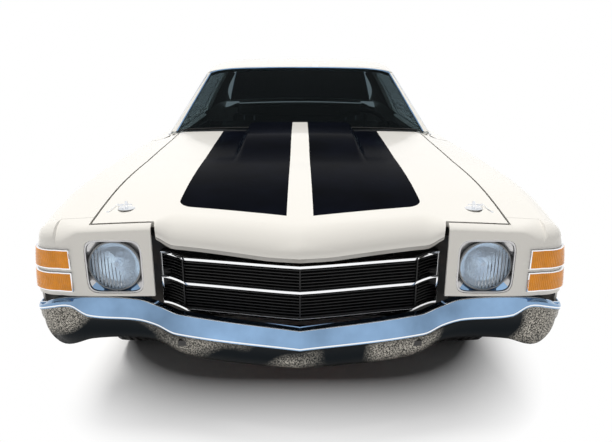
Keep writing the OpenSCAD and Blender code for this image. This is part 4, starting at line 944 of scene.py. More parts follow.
def grille():
    s = Solid()

    def strip(off, depth, z, h, mat, x1=CAP_X0 - 4, lean=0.0):
        front, back = nose_line(x1, off), nose_line(x1, off + depth)
        outer = [[(x, y + lean, z), (x, y, z + h)] for x, y in front]
        inner = [[(x, y, z), (x, y, z + h)] for x, y in back]
        s.shell(outer, inner, mat)

    strip(52, 6, 487, 202, 0)
    for i in range(17):
        z = 497 + i * 11.4
        if min(abs(z + 2 - m) for m in (486, 593, 688)) > 7:
            strip(30, 20, z, 3.4, 0)
    for z, h, off in ((487, 9, 20), (588, 10, 18), (680, 10, 18)):
        strip(off, 14, z, h, 1, lean=2.0)
        strip(off + 14, 14, z + 1, h - 2, 0)
    for x in (-412, 0, 412):
        y = nose_y(x) + 31
        s.box((x - 2.5, y, 490), (x + 2.5, y + 24, 686), 0)
    # Chrome edges of the short side segments
    for side in (-1, 1):
        x = side * (CAP_X0 - 7)
        y = nose_y(x) + 20 + 72 * clamp((abs(x) - 402) / 96, 0, 1)
        s.box((x - 3, y - 3, 500), (x + 3, y + 20, 686), 1)
    brackets = Solid()
    brackets.box((470, -2272, 560), (500, -2232.3, 620), 0)
    brackets.mirrored()
    s.add(brackets.v, brackets.f, 0)
    s.make("grille_bars", "root", "grille_black", [grille_black, chrome], 0.6, 40, ["grille"], 1)


grille()

# ---- Bumpers ----
BUMPER_PATH = [(0, 0), (220, 40), (430, 84), (500, 104), (570, 114), (740, 116), (800, 120), (870, 130),
               (925, 160), (950, 205), (956, 260), (955, 330)]
BUMPER_TOP = [(0, 478), (430, 500), (500, 521), (570, 543), (740, 552), (870, 540), (956, 505)]
BUMPER_MID = [(0, 423), (430, 437), (500, 462), (570, 478), (740, 492), (800, 526), (870, 518), (956, 488)]
BUMPER_LOW = [(0, 343), (236, 340), (400, 351), (500, 386), (600, 399), (740, 392), (835, 366), (900, 395),
              (956, 462)]


def smooth_path(path, step=14):
    """Path through the points with rounded corners, as points by distance."""
    dist = [0.0]
    for a, b in zip(path, path[1:]):
        dist.append(dist[-1] + math.hypot(b[0] - a[0], b[1] - a[1]))
    tx = [(d, p[0]) for d, p in zip(dist, path)]
    ty = [(d, p[1]) for d, p in zip(dist, path)]
    n = int(dist[-1] / step)
    return [(curve(tx, d), curve(ty, d)) for d in steps(0, dist[-1], n)]


def bumper_rows(path, sign, profile):
    """Rows across a bumper: at each path point, points (behind, height) from profile(x, y, t)."""
    half = smooth_path(path)
    full = [(-x, y) for x, y in half[:0:-1]] + half
    m = len(full)
    out = {0: [], 1: []}
    for i, p in enumerate(full):
        a, b = full[max(i - 1, 0)], full[min(i + 1, m - 1)]
        length = math.hypot(b[0] - a[0], b[1] - a[1])
        v = (-sign * (b[1] - a[1]) / length, sign * (b[0] - a[0]) / length)
        for t in (0, 1):
            out[t].append([(p[0] + v[0] * off, (Y_FRONT if sign > 0 else Y_REAR) + p[1] + v[1] * off, z)
                           for off, z in profile(abs(p[0]), p[1], t * 4)])
    return out[0], out[1]


def front_profile(x, y, t):
    low, mid, top = curve(BUMPER_LOW, x), curve(BUMPER_MID, x), curve(BUMPER_TOP, x)
    depth = mix(58, 12, smooth((y - 150) / 50))

    def behind(most, room):
        return min(most, depth - room) + t

    return [(behind(26, 6), low + 3), (behind(19, 7), low + 1), (behind(14, 8), low + 4),
            (behind(12, 8), mix(low, mid - 18, 0.5)), (behind(10, 8), mid - 18), (behind(4, 8), mid - 9),
            (1.2 + t, mid - 4), (t, mid), (0.8 + t, mid + 4), (3 + t, mid + 10),
            (mix(3 + t, behind(22, 8), 0.5), mix(mid + 10, top - 6, 0.5)),
            (behind(22, 8), top - 6 - t * 0.5), (behind(26, 6), top - 1.5 - t), (behind(34, 3), top - t),
            (depth, top - t)]


def front_bumper():
    s = Solid()
    outer, inner = bumper_rows(BUMPER_PATH, 1, front_profile)
    s.shell(outer, inner, 0, 1)
    # The rows under the crease look down at the road and get chrome painted near black as painted shade; the
    # rest is the chrome painted blue as reflected sky.
    for i in range((len(outer) - 1) * (len(outer[0]) - 1)):
        row = i % (len(outer[0]) - 1)
        if row < 6:
            s.m[i] = 2
        # Rows 7 and 12 get bright chrome: painted highlight lines along the crease and the top edge.
        elif row in (7, 12):
            s.m[i] = 3
    bracket = Solid()
    bracket.box((375, Y_FRONT + 88, 390), (425, Y_FRONT + 195, 410), 1)
    bracket.mirrored()
    s.add(bracket.v, bracket.f, 1)
    s.make("front_bumper_shell", "root", "chrome", [sky_painted_chrome, chassis_paint, bumper_shade, chrome], 0,
           60, ["front_bumper"])


front_bumper()

REAR_PATH = [(0, 0), (400, -14), (760, -40), (880, -70), (930, -130), (942, -200), (946, -330)]


def rear_profile(x, y, t):
    d = mix(60, 10, smooth((-y - 55) / 50))
    near = min(14, d - 6)
    return [(d, 604 - t), (min(22, d - 6) + t, 604 - t), (near + t, 601), (8 + t * 0.7, 590), (2 + t, 560),
            (t, 530), (t, 500), (3 + t, 478), (near + t, 450), (mix(near, d - 6, 0.5) + t, 424),
            (d - 6 + t, 402), (d - 4 + t * 0.5, 400)]


def rear_bumper():
    s = Solid()
    s.shell(*bumper_rows(REAR_PATH, -1, rear_profile), 0, 1)
    shell = s.make("rear_blank", "root", "chrome", [rear_painted_sky_chrome, chassis_paint], 0)
    cutter = Solid()
    for x in (-700, -540, 540, 700):
        cutter.lathe([(0.01, -60), (54, -60), (54, 60), (0.01, 60)], (x, Y_REAR - 40, 532), "y", 48)
    tool = cutter.make("rear_tool", "root", "chrome", [rear_painted_sky_chrome], 0)
    out = punched(shell, tool)
    bracket = Solid()
    bracket.box((505, Y_REAR - 100, 410), (555, Y_REAR - 20, 450), 1)
    bracket.mirrored()
    out.add(bracket.v, bracket.f, 1)
    out.make("rear_bumper_shell", "root", "chrome", [rear_painted_sky_chrome, chassis_paint], 0, 50, ["rear_bumper"])
    lamps = Solid()
    for x in (540, 700):
        at = (x, Y_REAR - 88, 532)
        front = 60 - (x / 760) * 18
        lamps.lathe([(0.01, 0), (51, 0), (51, front + 2), (46, front + 5), (43, front), (0.01, front)], at,
                    "y", 56, 1)
        rings = []
        for i in range(9):
            r = 44 - i * 5.2
            rings += [(max(r, 0.01), front + 1 + 2.2 * (i % 2) + 5 * (1 - (r / 44) ** 2))]
        lamps.lathe([(0.01, front - 4), (44, front - 4)] + rings, at, "y", 56, 0)
    lamps.mirrored()
    lamps.make("tail_lamp_lenses", "root", "red_lens", [red_lens, chrome], 0, 35, ["tail_lamps"])


rear_bumper()


# ---- Windows and roof ----
def windows():
    us, vs = steps(-1, 1, 40), steps(0, 1, 14)
    s = Solid()
    s.sheet(ws_point, us, vs, GLASS_T)
    s.make("windshield_glass", "root", "tinted_glass", [tinted_glass], 0, 40, ["windshield"])
    s = Solid()
    s.sheet(bl_point, us, vs, GLASS_T)
    f, b = (DOOR_REAR + PANEL_GAP,) * 2, (SAIL_FRONT[0] - SEAM_GAP, SAIL_FRONT[1] - SEAM_GAP)
    side = Solid()
    side.shell([[slab_point(f, b, i, h, 0, PANEL_GAP) for h in steps(0, 1, 10)] for i in steps(0, 1, 10)],
               [[slab_point(f, b, i, h, GLASS_T, PANEL_GAP) for h in steps(0, 1, 10)]
                for i in steps(0, 1, 10)])
    side.mirrored()
    s.add(side.v, side.f, 1)
    s.make("rear_glass", "root", "tinted_glass", [rear_glass, side_glass], 0, 40, ["rear_windows"])
    # Trim around the windshield and the rear window, in chrome painted dark blue as a painted reflection of
    # sky
    t = Solid()
    edge = ([ws_point(-1, v, 0) for v in steps(0, 1, 12)]
            + [ws_point(u, 1, 0) for u in steps(-1, 1, 24)[1:]]
            + [ws_point(1, v, 0) for v in steps(1, 0, 12)[1:]])
    t.tube([(x, y - 1, z + 1) for x, y, z in edge], 5.5, 8)
    base = [ws_point(u, 0, 0) for u in steps(-1, 1, 30)]
    t.tube([(x, y - 2, z + 1) for x, y, z in base], 4, 8, 1)
    edge = ([bl_point(-1, v, 0) for v in steps(0, 1, 12)]
            + [bl_point(u, 1, 0) for u in steps(-1, 1, 24)[1:]]
            + [bl_point(1, v, 0) for v in steps(1, 0, 12)[1:]]
            + [bl_point(u, 0, 0) for u in steps(1, -1, 24)[1:-1]])
    t.tube(edge, 6, 8, 0, closed=True)
    t.make("window_trim", "root", "chrome", [sky_painted_chrome, rubber], 0, 50)


def roof():
    us = sorted(set([round(u, 3) for u in steps(-1, 1, 44)] + [-0.99, -0.975, -0.94, 0.94, 0.975, 0.99]))
    vs = [0, 0.004, 0.012] + steps(0.03, 0.97, 30) + [0.988, 0.996, 1]

    def point(u, v, t):
        x0 = u * roof_x(ROOF_FRONT)
        y = mix(roof_front_y(x0), roof_rear_y(x0), v)
        drop = 10 * (1 - smooth(min(v, 1 - v) / 0.03)) if not t else 0
        return (u * roof_x(y) * (1 - t / 1800), y, roof_z(u * roof_x(y), y) - t - drop * (1 - abs(u) ** 6))

    s = Solid()
    s.sheet(point, us, vs, ROOF_T, 0, 1)
    pillar = Solid()
    bx, by, bz = WS_BASE_X + 2, ws_base_y(WS_BASE_X) - 10, top_z(WS_BASE_X, ws_base_y(WS_BASE_X)) + 2
    tx, ty, tz = WS_TOP_X + 7, roof_front_y(WS_TOP_X) - 12, roof_z(WS_TOP_X, ROOF_FRONT) - 24
    rows = []
    for v in steps(0, 1, 12):
        w, d, h = mix(31, 20, v), mix(50, 46, v), mix(6, 16, v)
        x, y, z = mix(bx, tx, v), mix(by, ty, v), mix(bz, tz, v)
        rows.append((x, y, z, w, d, h))
    # Section of the pillar, swept from the cowl to the roof
    ring = [[(x, y + 4, z + h), (x + w * 0.75, y + 2, z + h), (x + w, y + 10, z + h * 0.7),
             (x + w, y + d, z), (x, y + d, z)]
            for x, y, z, w, d, h in rows]
    verts = [p for r in ring for p in r]
    pillar.add(verts, ring_faces(13, 5)[:60] + [[0, 1, 2, 3, 4], [60, 61, 62, 63, 64]])
    pillar.mirrored()
    s.add(pillar.v, pillar.f)
    lining = finish("headlining", (0.03, 0.03, 0.032), 0.85, spread=0.2, grain=700, grain_strength=0.4)
    s.make("roof_skin", "root", "body_paint", [white_paint, lining], 1.5, 40, ["roof"])
    # Drip rails
    t = Solid()
    rail = [(roof_x(y) - 1.5, y, roof_z(roof_x(y), y) - 6)
            for y in steps(ROOF_FRONT + 12, ROOF_REAR - 20, 30)]
    front = [(mix(bx + 30, rail[0][0], v), mix(by + 14, rail[0][1], v), mix(bz + 4, rail[0][2], v))
             for v in steps(0, 1, 14)]
    t.tube(front + rail[1:], 4.5, 8)
    t.mirrored()
    t.make("drip_rails", "root", "chrome", [chrome], 0, 50)


windows()
roof()


# ---- Quarter panels and tail ----
def quarter_in(y):
    return belt_x(y) - 12 if y < DECK_FRONT - 8 else deck_x(y) + PANEL_GAP


def quarters():
    y1 = Y_REAR - 122
    arc = [REAR_AXLE - ARCH_R * math.cos(math.pi * i / 40) for i in range(41)]
    ys = (steps(DOOR_REAR + PANEL_GAP, REAR_AXLE - ARCH_R - 2, 16)
          + [y for y in arc if y < DECK_FRONT - 10] + [DECK_FRONT - 9, DECK_FRONT - 8]
          + [y for y in arc if y > DECK_FRONT] + steps(REAR_AXLE + ARCH_R + 2, y1, 24))

    def low(y):
        return max(arch_low(y, REAR_AXLE, SILL_Z + 10), 235 + 230 * smooth((y - REAR_AXLE - 500) / 500))

    s = Solid()
    s.shell([side_rows(y, low(y), quarter_in(y), 0) for y in ys],
            [side_rows(y, low(y), quarter_in(y), SHEET) for y in ys], 0, 1)
    hs, iis = steps(0, 1, 20), steps(0, 1, 24)
    s.shell([[slab_point(SAIL_FRONT, SAIL_REAR, i, h, 0, 2 * SEAM_GAP) for h in hs] for i in iis],
            [[slab_point(SAIL_FRONT, SAIL_REAR, i, h, ROOF_T, 2 * SEAM_GAP) for h in hs] for i in iis], 0,
            2)
    s.box((765, DOOR_REAR + PANEL_GAP, DOOR_BOTTOM), (925, DOOR_REAR + PANEL_GAP + 8, DOOR_BOTTOM + 600), 1)
    arch_lip(s, REAR_AXLE, SILL_Z + 14)
    s.mirrored()
    s.make("quarter_skins", "root", "body_paint", [white_paint, inner_paint, interior_plastic], 1.4, 45,
           ["quarter_panels"])
    m = Solid()
    x = side_x(2150, 560)
    m.box((x - 8, 2088, 543), (x + 4, 2212, 577), 0)
    m.box((x - 8, 2094, 548), (x + 7, 2206, 572), 1)
    m.mirrored()
    m.make("rear_side_markers", "root", "red_lens", [chrome, red_lens], 1.5)


def tail():
    y0 = Y_REAR - 122

    def top(x):
        a = abs(x)
        return top_z(a, DECK_REAR) - 56 if a < 700 else mix(840, 790, smooth((a - 700) / 160))

    def point(u, v, t):
        z0 = mix(600, 800, v)
        x = u * (side_x(y0, z0) - SHEET - SEAM_GAP / 2)
        return (x, y0 - 14 * u**4 + 12 * math.sin(math.pi * v) - t, mix(606, top(x), v))

    us, vs = steps(-1, 1, 60), steps(0, 1, 12)
    s = Solid()
    s.sheet(point, us, vs, 8, 0, 1)
    s.make("tail_skin", "root", "body_paint", [white_paint, inner_paint], 1.2, 45, ["tail_panel"])
    p = Solid()
    us = steps(-0.78, 0.78, 50)
    vs = steps(0.18, 0.82, 8)
    p.shell([[(x, y + 2.5, z) for x, y, z in (point(u, v, 0) for v in vs)] for u in us],
            [[(x, y + 0.2, z) for x, y, z in (point(u, v, 0) for v in vs)] for u in us], 0)
    for v in (0.18, 0.82):
        p.tube([(x, y + 2, z) for x, y, z in (point(u, v, 0) for u in us)], 3.4, 8, 1)
    for u in (-0.78, 0.78):
        p.tube([(x, y + 2, z) for x, y, z in (point(u, v, 0) for v in vs)], 3.4, 8, 1)
    p.make("tail_trim", "root", "grille_black", [black_paint, chrome], 0, 45)


def deck():
    us = steps(-1, 1, 60)
    vs = [0, 0.002, 0.006] + steps(0.015, 0.88, 30) + steps(0.9, 1, 12)

    def point(u, v, t):
        y = mix(DECK_FRONT, DECK_REAR, v)
        r = smooth((v - 0.9) / 0.1)
        x = u * deck_x(y)
        return (x, y - (4 if t and v == 1 else 0), top_z(x, y) - t - 26 * r * r)

    s = Solid()
    s.sheet(point, us, vs, 20, 0, 1)
    y, z = DECK_FRONT + DECK_PIN_DY, DECK_HINGE_Z
    for side in (-1, 1):
        s.lathe([(3.4, -14.5), (6, -14.5), (6, 14.5), (3.4, 14.5)], (side * 155, y, z), "x", 32, 1)
    s.make("deck_lid_skin", "deck_lid", "body_paint", [deck_paint, inner_paint], 1.6, 40, ["deck_lid"])
    k = Solid()
    y = DECK_REAR - 8
    k.lathe([(0.01, 0), (15, 0), (15, 6), (12, 9), (0.01, 9)], (0, y - 2, top_z(0, y) - 34), "y", 32)
    k.make("deck_lock", "deck_lid", "chrome", [chrome], 0)


quarters()
tail()
deck()


# ---- Doors ----
def door(side):
    name = "left" if side > 0 else "right"
    ys = [0, 3] + steps(12, 99, 8) + [100, 101] + steps(120, 1308, 36) + [1317, 1320]

    def x_in(y):
        return mix(810, 788, smooth((y - DOOR_FRONT) / 120))

    outer = [side_rows(DOOR_FRONT + y, DOOR_BOTTOM, x_in(DOOR_FRONT + y), 0) for y in ys]
    inset = []
    for y in ys:
        rows = side_rows(DOOR_FRONT + y, DOOR_BOTTOM, x_in(DOOR_FRONT + y), SHEET)
        inset.append([p if y <= 100 else (min(p[0], 765), p[1] - (25 if y == 1320 else 0), p[2])
                      for p in rows])
    s = Solid()
    s.shell(outer, inset, 0, 1)
    # Hinge barrels and the straps that join them to the door
    for z in (515, 690):
        s.lathe([(4.3, -29.5), (7, -29.5), (7, 29.5), (4.3, 29.5)], (DOOR_PIN_X, DOOR_PIN_Y, z), "z", 32, 1)
        s.box((DOOR_PIN_X - 6, DOOR_PIN_Y + 6, z - 29.5), (DOOR_PIN_X + 5, DOOR_PIN_Y + 21, z + 29.5), 1)
    if side < 0:
        s.flipped()
    s.make(name + "_door_skin", name + "_door", "body_paint", [white_paint, inner_paint], 1.4, 42,
           [name + "_door"])
    # Handle, lock, belt moulding and inner trim
    t = Solid()
    y, z = DOOR_REAR - 150, 800
    x = side_x(y, z)
    for dy in (-62, 62):
        t.lathe([(0.01, 0), (15, 0), (13, 8), (0.01, 8)], (x - 4, y + dy, z), "x", 24)
    t.tube([(x + 2 + 17 * math.sin(math.pi * clamp(u * 1.2 - 0.1, 0, 1)) ** 0.5, y - 66 + 132 * u, z + 2)
            for u in steps(0, 1, 20)],
           7.5, 12)
    t.lathe([(0.01, 0), (9, 0), (8, 5), (0.01, 6)], (x - 2, y + 20, z - 42), "x", 24)
    belt = [(belt_x(q) + 2, q, belt_z(q) + 3) for q in steps(DOOR_FRONT + 140, DOOR_REAR - 6, 30)]
    t.tube(belt, 4.5, 8)
    p = Solid()
    p.box((741, DOOR_FRONT + 160, 330), (764.5, DOOR_REAR - 40, 860), 0)
    p.box((700, DOOR_FRONT + 520, 610), (742, DOOR_REAR - 160, 660), 0)
    p.tube([(738, DOOR_FRONT + 420 + 22 * math.cos(a), 700 + 22 * math.sin(a))
            for a in steps(0, 2 * math.pi, 20)[:-1]],
           5, 8, 1, closed=True)
    if side < 0:
        t.flipped()
        p.flipped()
    t.make(name + "_door_trim", name + "_door", "chrome", [chrome], 0, 45)
    p.make(name + "_door_card", name + "_door", "interior_plastic", [interior_plastic, chrome], 6, 40,
           segments=3)
    # Glass, with the bright edge at its rear
    g = Solid()
    f, b = PILLAR_REAR, (DOOR_REAR, DOOR_REAR)
    hs, iis = steps(0, 1, 12), steps(0, 1, 20)
    g.shell([[slab_point(f, b, i, h, 0, PANEL_GAP) for h in hs] for i in iis],
            [[slab_point(f, b, i, h, GLASS_T, PANEL_GAP) for h in hs] for i in iis])
    e = Solid()
    e.tube([slab_point(f, b, 0.997, h, 3, PANEL_GAP) for h in hs], 5, 8)
    e.tube([slab_point(f, b, 0.004, h, 3, PANEL_GAP) for h in hs], 5, 8)
    if side < 0:
        g.flipped()
        e.flipped()
    g.make(name + "_side_glass", name + "_door", "tinted_glass", [side_glass], 0, 40,
           [name + "_door_glass"])
    e.make(name + "_glass_edges", name + "_door", "chrome", [chrome], 0, 45)


for side in (1, -1):
    door(side)


# ---- Wheels ----
def tyre(s, at, side):
    """Tyre with five tread ribs, cut across at the shoulders."""
    r, b, h, o = 190.5, 89.0, 108.0, 335.0
    half = [(r + 0.6, b - 13), (r + 8.5, b - 10.6), (r + 10.6, b - 5), (r + 15, b)]
    for a in range(-50, 51, 10):
        half.append((mix(r + 22, o - 26, (a + 50) / 100), h * math.cos(math.radians(a) * 0.5)))
    half += [(o - 16, h - 8), (o - 9, h - 13)]
    tread = [(h - 16, 1), (h - 22, 2), (h - 30, 2), (h - 34, 2), (66, 0), (60, 0), (58, 3), (38, 3),
             (36, 0), (29, 0), (27, 4), (11, 4), (9, 0), (3, 0)]
    n = 216
    pts = (half + [(None, w, kind) for w, kind in tread]
           + [(None, -w, kind) for w, kind in reversed(tread)] + [(r0, -w) for r0, w in reversed(half)])
    k = len(pts)
    verts = []
    for i in range(n):
        a = 2 * math.pi * i / n
        for p in pts:
            if p[0] is None:
                w, kind = p[1], p[2]
                rad = o - 0.6 - 5 * (abs(w) / h) ** 4
                cut = (i % 6 < 1) if kind in (1, 2) else ((i + 3) % 8 < 1 if kind == 3 else False)
                if kind == 0:
                    rad -= 7
                elif cut:
                    rad -= 5
            else:
                rad, w = p
            verts.append((at[0] + side * w, at[1] + rad * math.cos(a), at[2] + rad * math.sin(a)))
    s.add(verts, ring_faces(n, k))


def wheel(name, side, axle):
    body = name + "_wheel"
    at = (side * HALF_TRACK, axle, AXLE_Z)
    t = Solid()
    tyre(t, at, side)
    t.make(name + "_tyre_tread", body, "tyre_rubber", [tyre_rubber], 0, 28, [name + "_tyre"])
    w, r = 89.0, 190.5
    s = Solid()
    barrel = [(r - 9, -w + 6), (r - 22, -w * 0.5), (r - 22, w * 0.2), (r - 20, w * 0.5), (r - 12, w - 14),
              (r - 9, w - 6), (r + 4, w - 5), (r + 8, w - 1), (r + 13, w), (r + 13, w - 4), (r + 10, w - 5),
              (r + 8, w - 10), (r, w - 12), (r - 2, w - 34), (r - 10, w * 0.2), (r - 10, -w * 0.4),
              (r - 2, -w + 34), (r, -w + 12), (r + 8, -w + 10), (r + 10, -w + 5), (r + 13, -w + 4),
              (r + 13, -w), (r + 6, -w + 2), (r + 4, -w + 6)]
    mats = [0, 0, 1, 1, 1, 1, 1, 1, 1, 1] + [0] * 14
    s.lathe([(p, side * q) for p, q in barrel], at, "x", 96, 0, mats)
    # Brake drum behind the spokes
    s.lathe([(0.01, -32 * side), (125, -32 * side), (132, -22 * side), (132, -14 * side), (118, -10 * side),
             (0.01, -10 * side)],
            at, "x", 64, 3)
    # Five broad spokes that bow out from the rim to the middle
    for i in range(5):
        rot = Matrix.Translation(Vector(at)) @ Matrix.Rotation(math.radians(72 * i), 4, "X")
        outer, inner = [], []
        for v in steps(0, 1, 10):
            z = mix(28, r - 19, v)
            half_w = mix(30, 25, v) + 14 * smooth((v - 0.72) / 0.28) + 5 * smooth((0.2 - v) / 0.2)
            x = mix(46, 30, v) + 6 * math.sin(math.pi * v)
            row_o, row_i = [], []
            for u in steps(-1, 1, 12):
                dish = -6 * (1 - abs(u) ** 3)
                p = rot @ Vector((side * (x + dish - 5 * abs(u) ** 8), u * half_w, z))
                q = rot @ Vector((side * (x - 26), u * half_w * 0.94, z))
                row_o.append(tuple(p))
                row_i.append(tuple(q))
            outer.append(row_o)
            inner.append(row_i)
        s.shell(outer, inner, 2)
    hub = [(0.01, 20), (60, 20), (62, 38), (56, 47), (46, 50), (34, 50), (33, 56), (30, 66), (24, 70),
           (0.01, 72)]
    s.lathe([(p, side * q) for p, q in hub], at, "x", 64, 2, [2, 2, 2, 2, 2, 1, 1, 1, 1, 1])
    for i in range(5):
        a = math.radians(72 * i + 36)
        s.lathe([(0.01, side * 44), (9.5, side * 44), (9.5, side * 60), (6, side * 64), (0.01, side * 64)],
                (at[0], at[1] + 46 * math.cos(a), at[2] + 46 * math.sin(a)), "x", 6, 1)
    s.make(name + "_sport_rim", body, "wheel_silver", [chassis_paint, chrome, argent_wheel, satin_steel],
           1.0, 35, [name + "_rim"])


argent_wheel = finish("wheel_argent", (0.3, 0.31, 0.33), 0.32, metallic=0.8, spread=0.06, grain=900,
                      grain_strength=0.05)
for name, side, axle in (("front_left", 1, FRONT_AXLE), ("front_right", -1, FRONT_AXLE),
                         ("rear_left", 1, REAR_AXLE), ("rear_right", -1, REAR_AXLE)):
    wheel(name, side, axle)

# ---- CAD nodes that stay, with their materials ----
for n, mat, w in (("chassis_frame", chassis_paint, 3), ("floor_pan", carpet, 1),
                  ("engine_bay_panels", chassis_paint, 1), ("radiator", grille_black, 2),
                  ("drivetrain", engine_paint, 6), ("exhaust", exhaust_steel, 0),
                  ("fuel_tank", chassis_paint, 12), ("front_suspension", chassis_paint, 2),
                  ("rear_axle", chassis_paint, 2), ("cowl", white_paint, 1.2),
                  ("rear_deck_panel", white_paint, 1), ("rockers", white_paint, 1.2),
                  ("dashboard", interior_plastic, 10), ("left_knuckle", chassis_paint, 2),
                  ("right_knuckle", chassis_paint, 2)):
    repaint(n, mat, w)
# The top of the cowl, ahead of the windshield, is black
cowl = nodes["cowl"]
cowl.data.materials.append(grille_black)
for p in cowl.data.polygons:
    if p.center.z > 0.86 and abs(p.center.x) < 0.7:
        p.material_index = 1

# ---- Cabin ----
seat_vinyl = finish("seat_vinyl", (0.02, 0.02, 0.021), 0.46, spread=0.2, mottle=12, grain=650,
                    grain_strength=0.3)


def swollen(mesh, voxel, cap):
    """Mesh of a stuffed cushion, swelled by air pressure from a smaller block."""
    obj = bpy.data.objects.new("cushion_blank", mesh)
    bpy.context.scene.collection.objects.link(obj)
    edge = obj.modifiers.new("edge", "BEVEL")
    edge.width, edge.segments = 0.028, 4
    grid = obj.modifiers.new("grid", "REMESH")
    grid.mode, grid.voxel_size = "VOXEL", voxel
    start = bpy.data.meshes.new_from_object(obj.evaluated_get(bpy.context.evaluated_depsgraph_get()))
    obj.modifiers.clear()
    obj.data = start
    cloth = obj.modifiers.new("air", "CLOTH")
    cloth.settings.use_pressure = True
    cloth.settings.uniform_pressure_force = 4.0
    cloth.settings.effector_weights.gravity = 0.0
    cloth.settings.quality = 5
    for f in range(1, 21):
        bpy.context.scene.frame_set(f)
    moved = bpy.data.meshes.new_from_object(obj.evaluated_get(bpy.context.evaluated_depsgraph_get()))
    bpy.context.scene.frame_set(1)
    for a, b in zip(start.vertices, moved.vertices):
        d = b.co - a.co
        b.co = a.co + d * min(1.0, cap / max(d.length, 1e-9))
    obj.modifiers.clear()
    obj.data = moved
    fine = obj.modifiers.new("fine", "SUBSURF")
    fine.levels = fine.render_levels = 1
    done = bpy.data.meshes.new_from_object(obj.evaluated_get(bpy.context.evaluated_depsgraph_get()))
    bpy.data.objects.remove(obj)
    return done


def cushion(name, lo, hi, face, lean=0.0, at=(0, 0, 0), voxel=0.016, cap=0.024, pitch=62, both=True,
            stands_for=()):
    """Stuffed piece from a block lo..hi, leaned back about X at a point, with sewn channels on one face."""
    blank = Solid().box(lo, hi)
    mesh = bpy.data.meshes.new(name)
    mesh.from_pydata([(x * MM, y * MM, z * MM) for x, y, z in blank.v], [], blank.f)
    mesh = swollen(mesh, voxel, cap)
    turn = Matrix.Translation(Vector(at) * MM) @ Matrix.Rotation(math.radians(lean), 4, "X")
    margin = 48
    for v in mesh.vertices:
        x, y, z = (c / MM for c in v.co)
        # Channels run along the face, inside its border, and the border has a sewn line of its own
        along = (y, lo[1], hi[1]) if face == "top" else (z, lo[2], hi[2])
        edge = min(x - lo[0], hi[0] - x, along[0] - along[1], along[2] - along[0])
        on_face = z > hi[2] - 25 if face == "top" else y < lo[1] + 25
        if on_face and pitch:
            q = (x - lo[0] - margin) % pitch
            q = min(q, pitch - q)
            sink = 6.0 * math.exp(-(q / 8.0) ** 2) * smooth((edge - margin + 6) / 12)
            sink = max(sink, 6.0 * math.exp(-((edge - margin) / 7.0) ** 2))
            if face == "top":
                v.co.z -= sink * MM
            else:
                v.co.y += sink * MM
    mesh.transform(turn)
    for p in mesh.polygons:
        p.use_smooth = True
    mesh.materials.clear()
    mesh.materials.append(seat_vinyl)
    for side in ((1, -1) if both else (1,)):
        copy = mesh.copy()
        if side < 0:
            copy.transform(Matrix.Diagonal((-1, 1, 1, 1)))
            copy.flip_normals()
        obj = bpy.data.objects.new(name + ("" if not both else "_left" if side > 0 else "_right"), copy)
        bpy.context.scene.collection.objects.link(obj)
        if side > 0 and stands_for:
            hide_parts(*stands_for)
        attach(obj, "root")


def seats():
    base = DOOR_FRONT + 560
    cushion("front_cushion", (172, base + 15, 375), (638, base + 488, 468), "top",
            stands_for=["front_seats"])
    back = (405, base + 480, 420)
    cushion("front_seat_back", (-233, -48, 8), (233, 36, 486), "front", -18, back)
    cushion("front_headrest", (-82, -44, 508), (82, 22, 600), "front", -18, back, 0.01, 0.012, 0)
    cushion("rear_cushion", (-640, REAR_AXLE - 562, 482), (640, REAR_AXLE - 205, 566), "top", voxel=0.02,
            both=False, stands_for=["rear_seat"])
    cushion("rear_seat_back", (-640, REAR_AXLE - 190, 560), (640, REAR_AXLE - 96, 850), "front", voxel=0.02,
            both=False)
    # Frames under and between the cushions
    s = Solid()
    s.box((190, base + 40, 298.3), (620, base + 460, 372), 0)
    s.box((180, base + 462, 330), (630, base + 486, 440), 0)
    for x in (365, 445):
        lean = Matrix.Rotation(math.radians(-18), 3, "X")
        s.tube([Vector((x, base + 480, 420)) + lean @ Vector((0, -5, z)) for z in (470, 530)], 6, 12, 1)
    s.mirrored()
    s.box((-640, REAR_AXLE - 560, 431), (640, REAR_AXLE - 120, 478), 0)
    s.make("seat_frames", "root", "interior_plastic", [interior_plastic, satin_steel], 4, 40)


def steering():
    hub, tilt = Vector((405, DOOR_FRONT + 430, 850)), Matrix.Rotation(math.radians(112), 3, "X")

    def local(x, y, z):
        return tuple(hub + tilt @ Vector((x, y, z)))

    s = Solid()
    ring = [local(185 * math.cos(a), 185 * math.sin(a), 0) for a in steps(0, 2 * math.pi, 120)[:-1]]
    s.tube(ring, [12.6 - 1.0 * (i % 4 == 0) for i in range(120)], 14, 0, closed=True)
    n = 40
    for deg in (90, 210, 330):
        c, d = math.cos(math.radians(deg)), math.sin(math.radians(deg))
        rows = []
        for u in steps(0, 1, 10):
            r, w = mix(26, 180, u), mix(15, 10, math.sin(math.pi * u) ** 0.6)
            z = 5 * (1 - u) - 2
            rows.append([local(r * c - q * d, r * d + q * c, z + h)
                         for q, h in ((-w, -3), (w, -3), (w, 3), (-w, 3))])
        v = [p for row in rows for p in row]
        s.add(v, ring_faces(11, 4)[:40] + [[0, 1, 2, 3], [40, 41, 42, 43]], 1)
    # Hub pad, bored for the column
    profile = [(10.3, -9), (30, -12), (34, -8), (34, 6), (44, 9), (46, 13), (38, 20), (20, 24), (0.01, 25),
               (0.01, 20), (10.3, 20)]
    verts = [local(r * math.cos(2 * math.pi * i / n), r * math.sin(2 * math.pi * i / n), min(z, 14))
             for i in range(n) for r, z in profile]
    k = len(profile)
    s.add(verts, ring_faces(n, k), 0)
    s.make("steering_wheel_rim", "steering_wheel", "interior_plastic", [rubber, satin_steel], 0, 40,
           ["steering_wheel"])


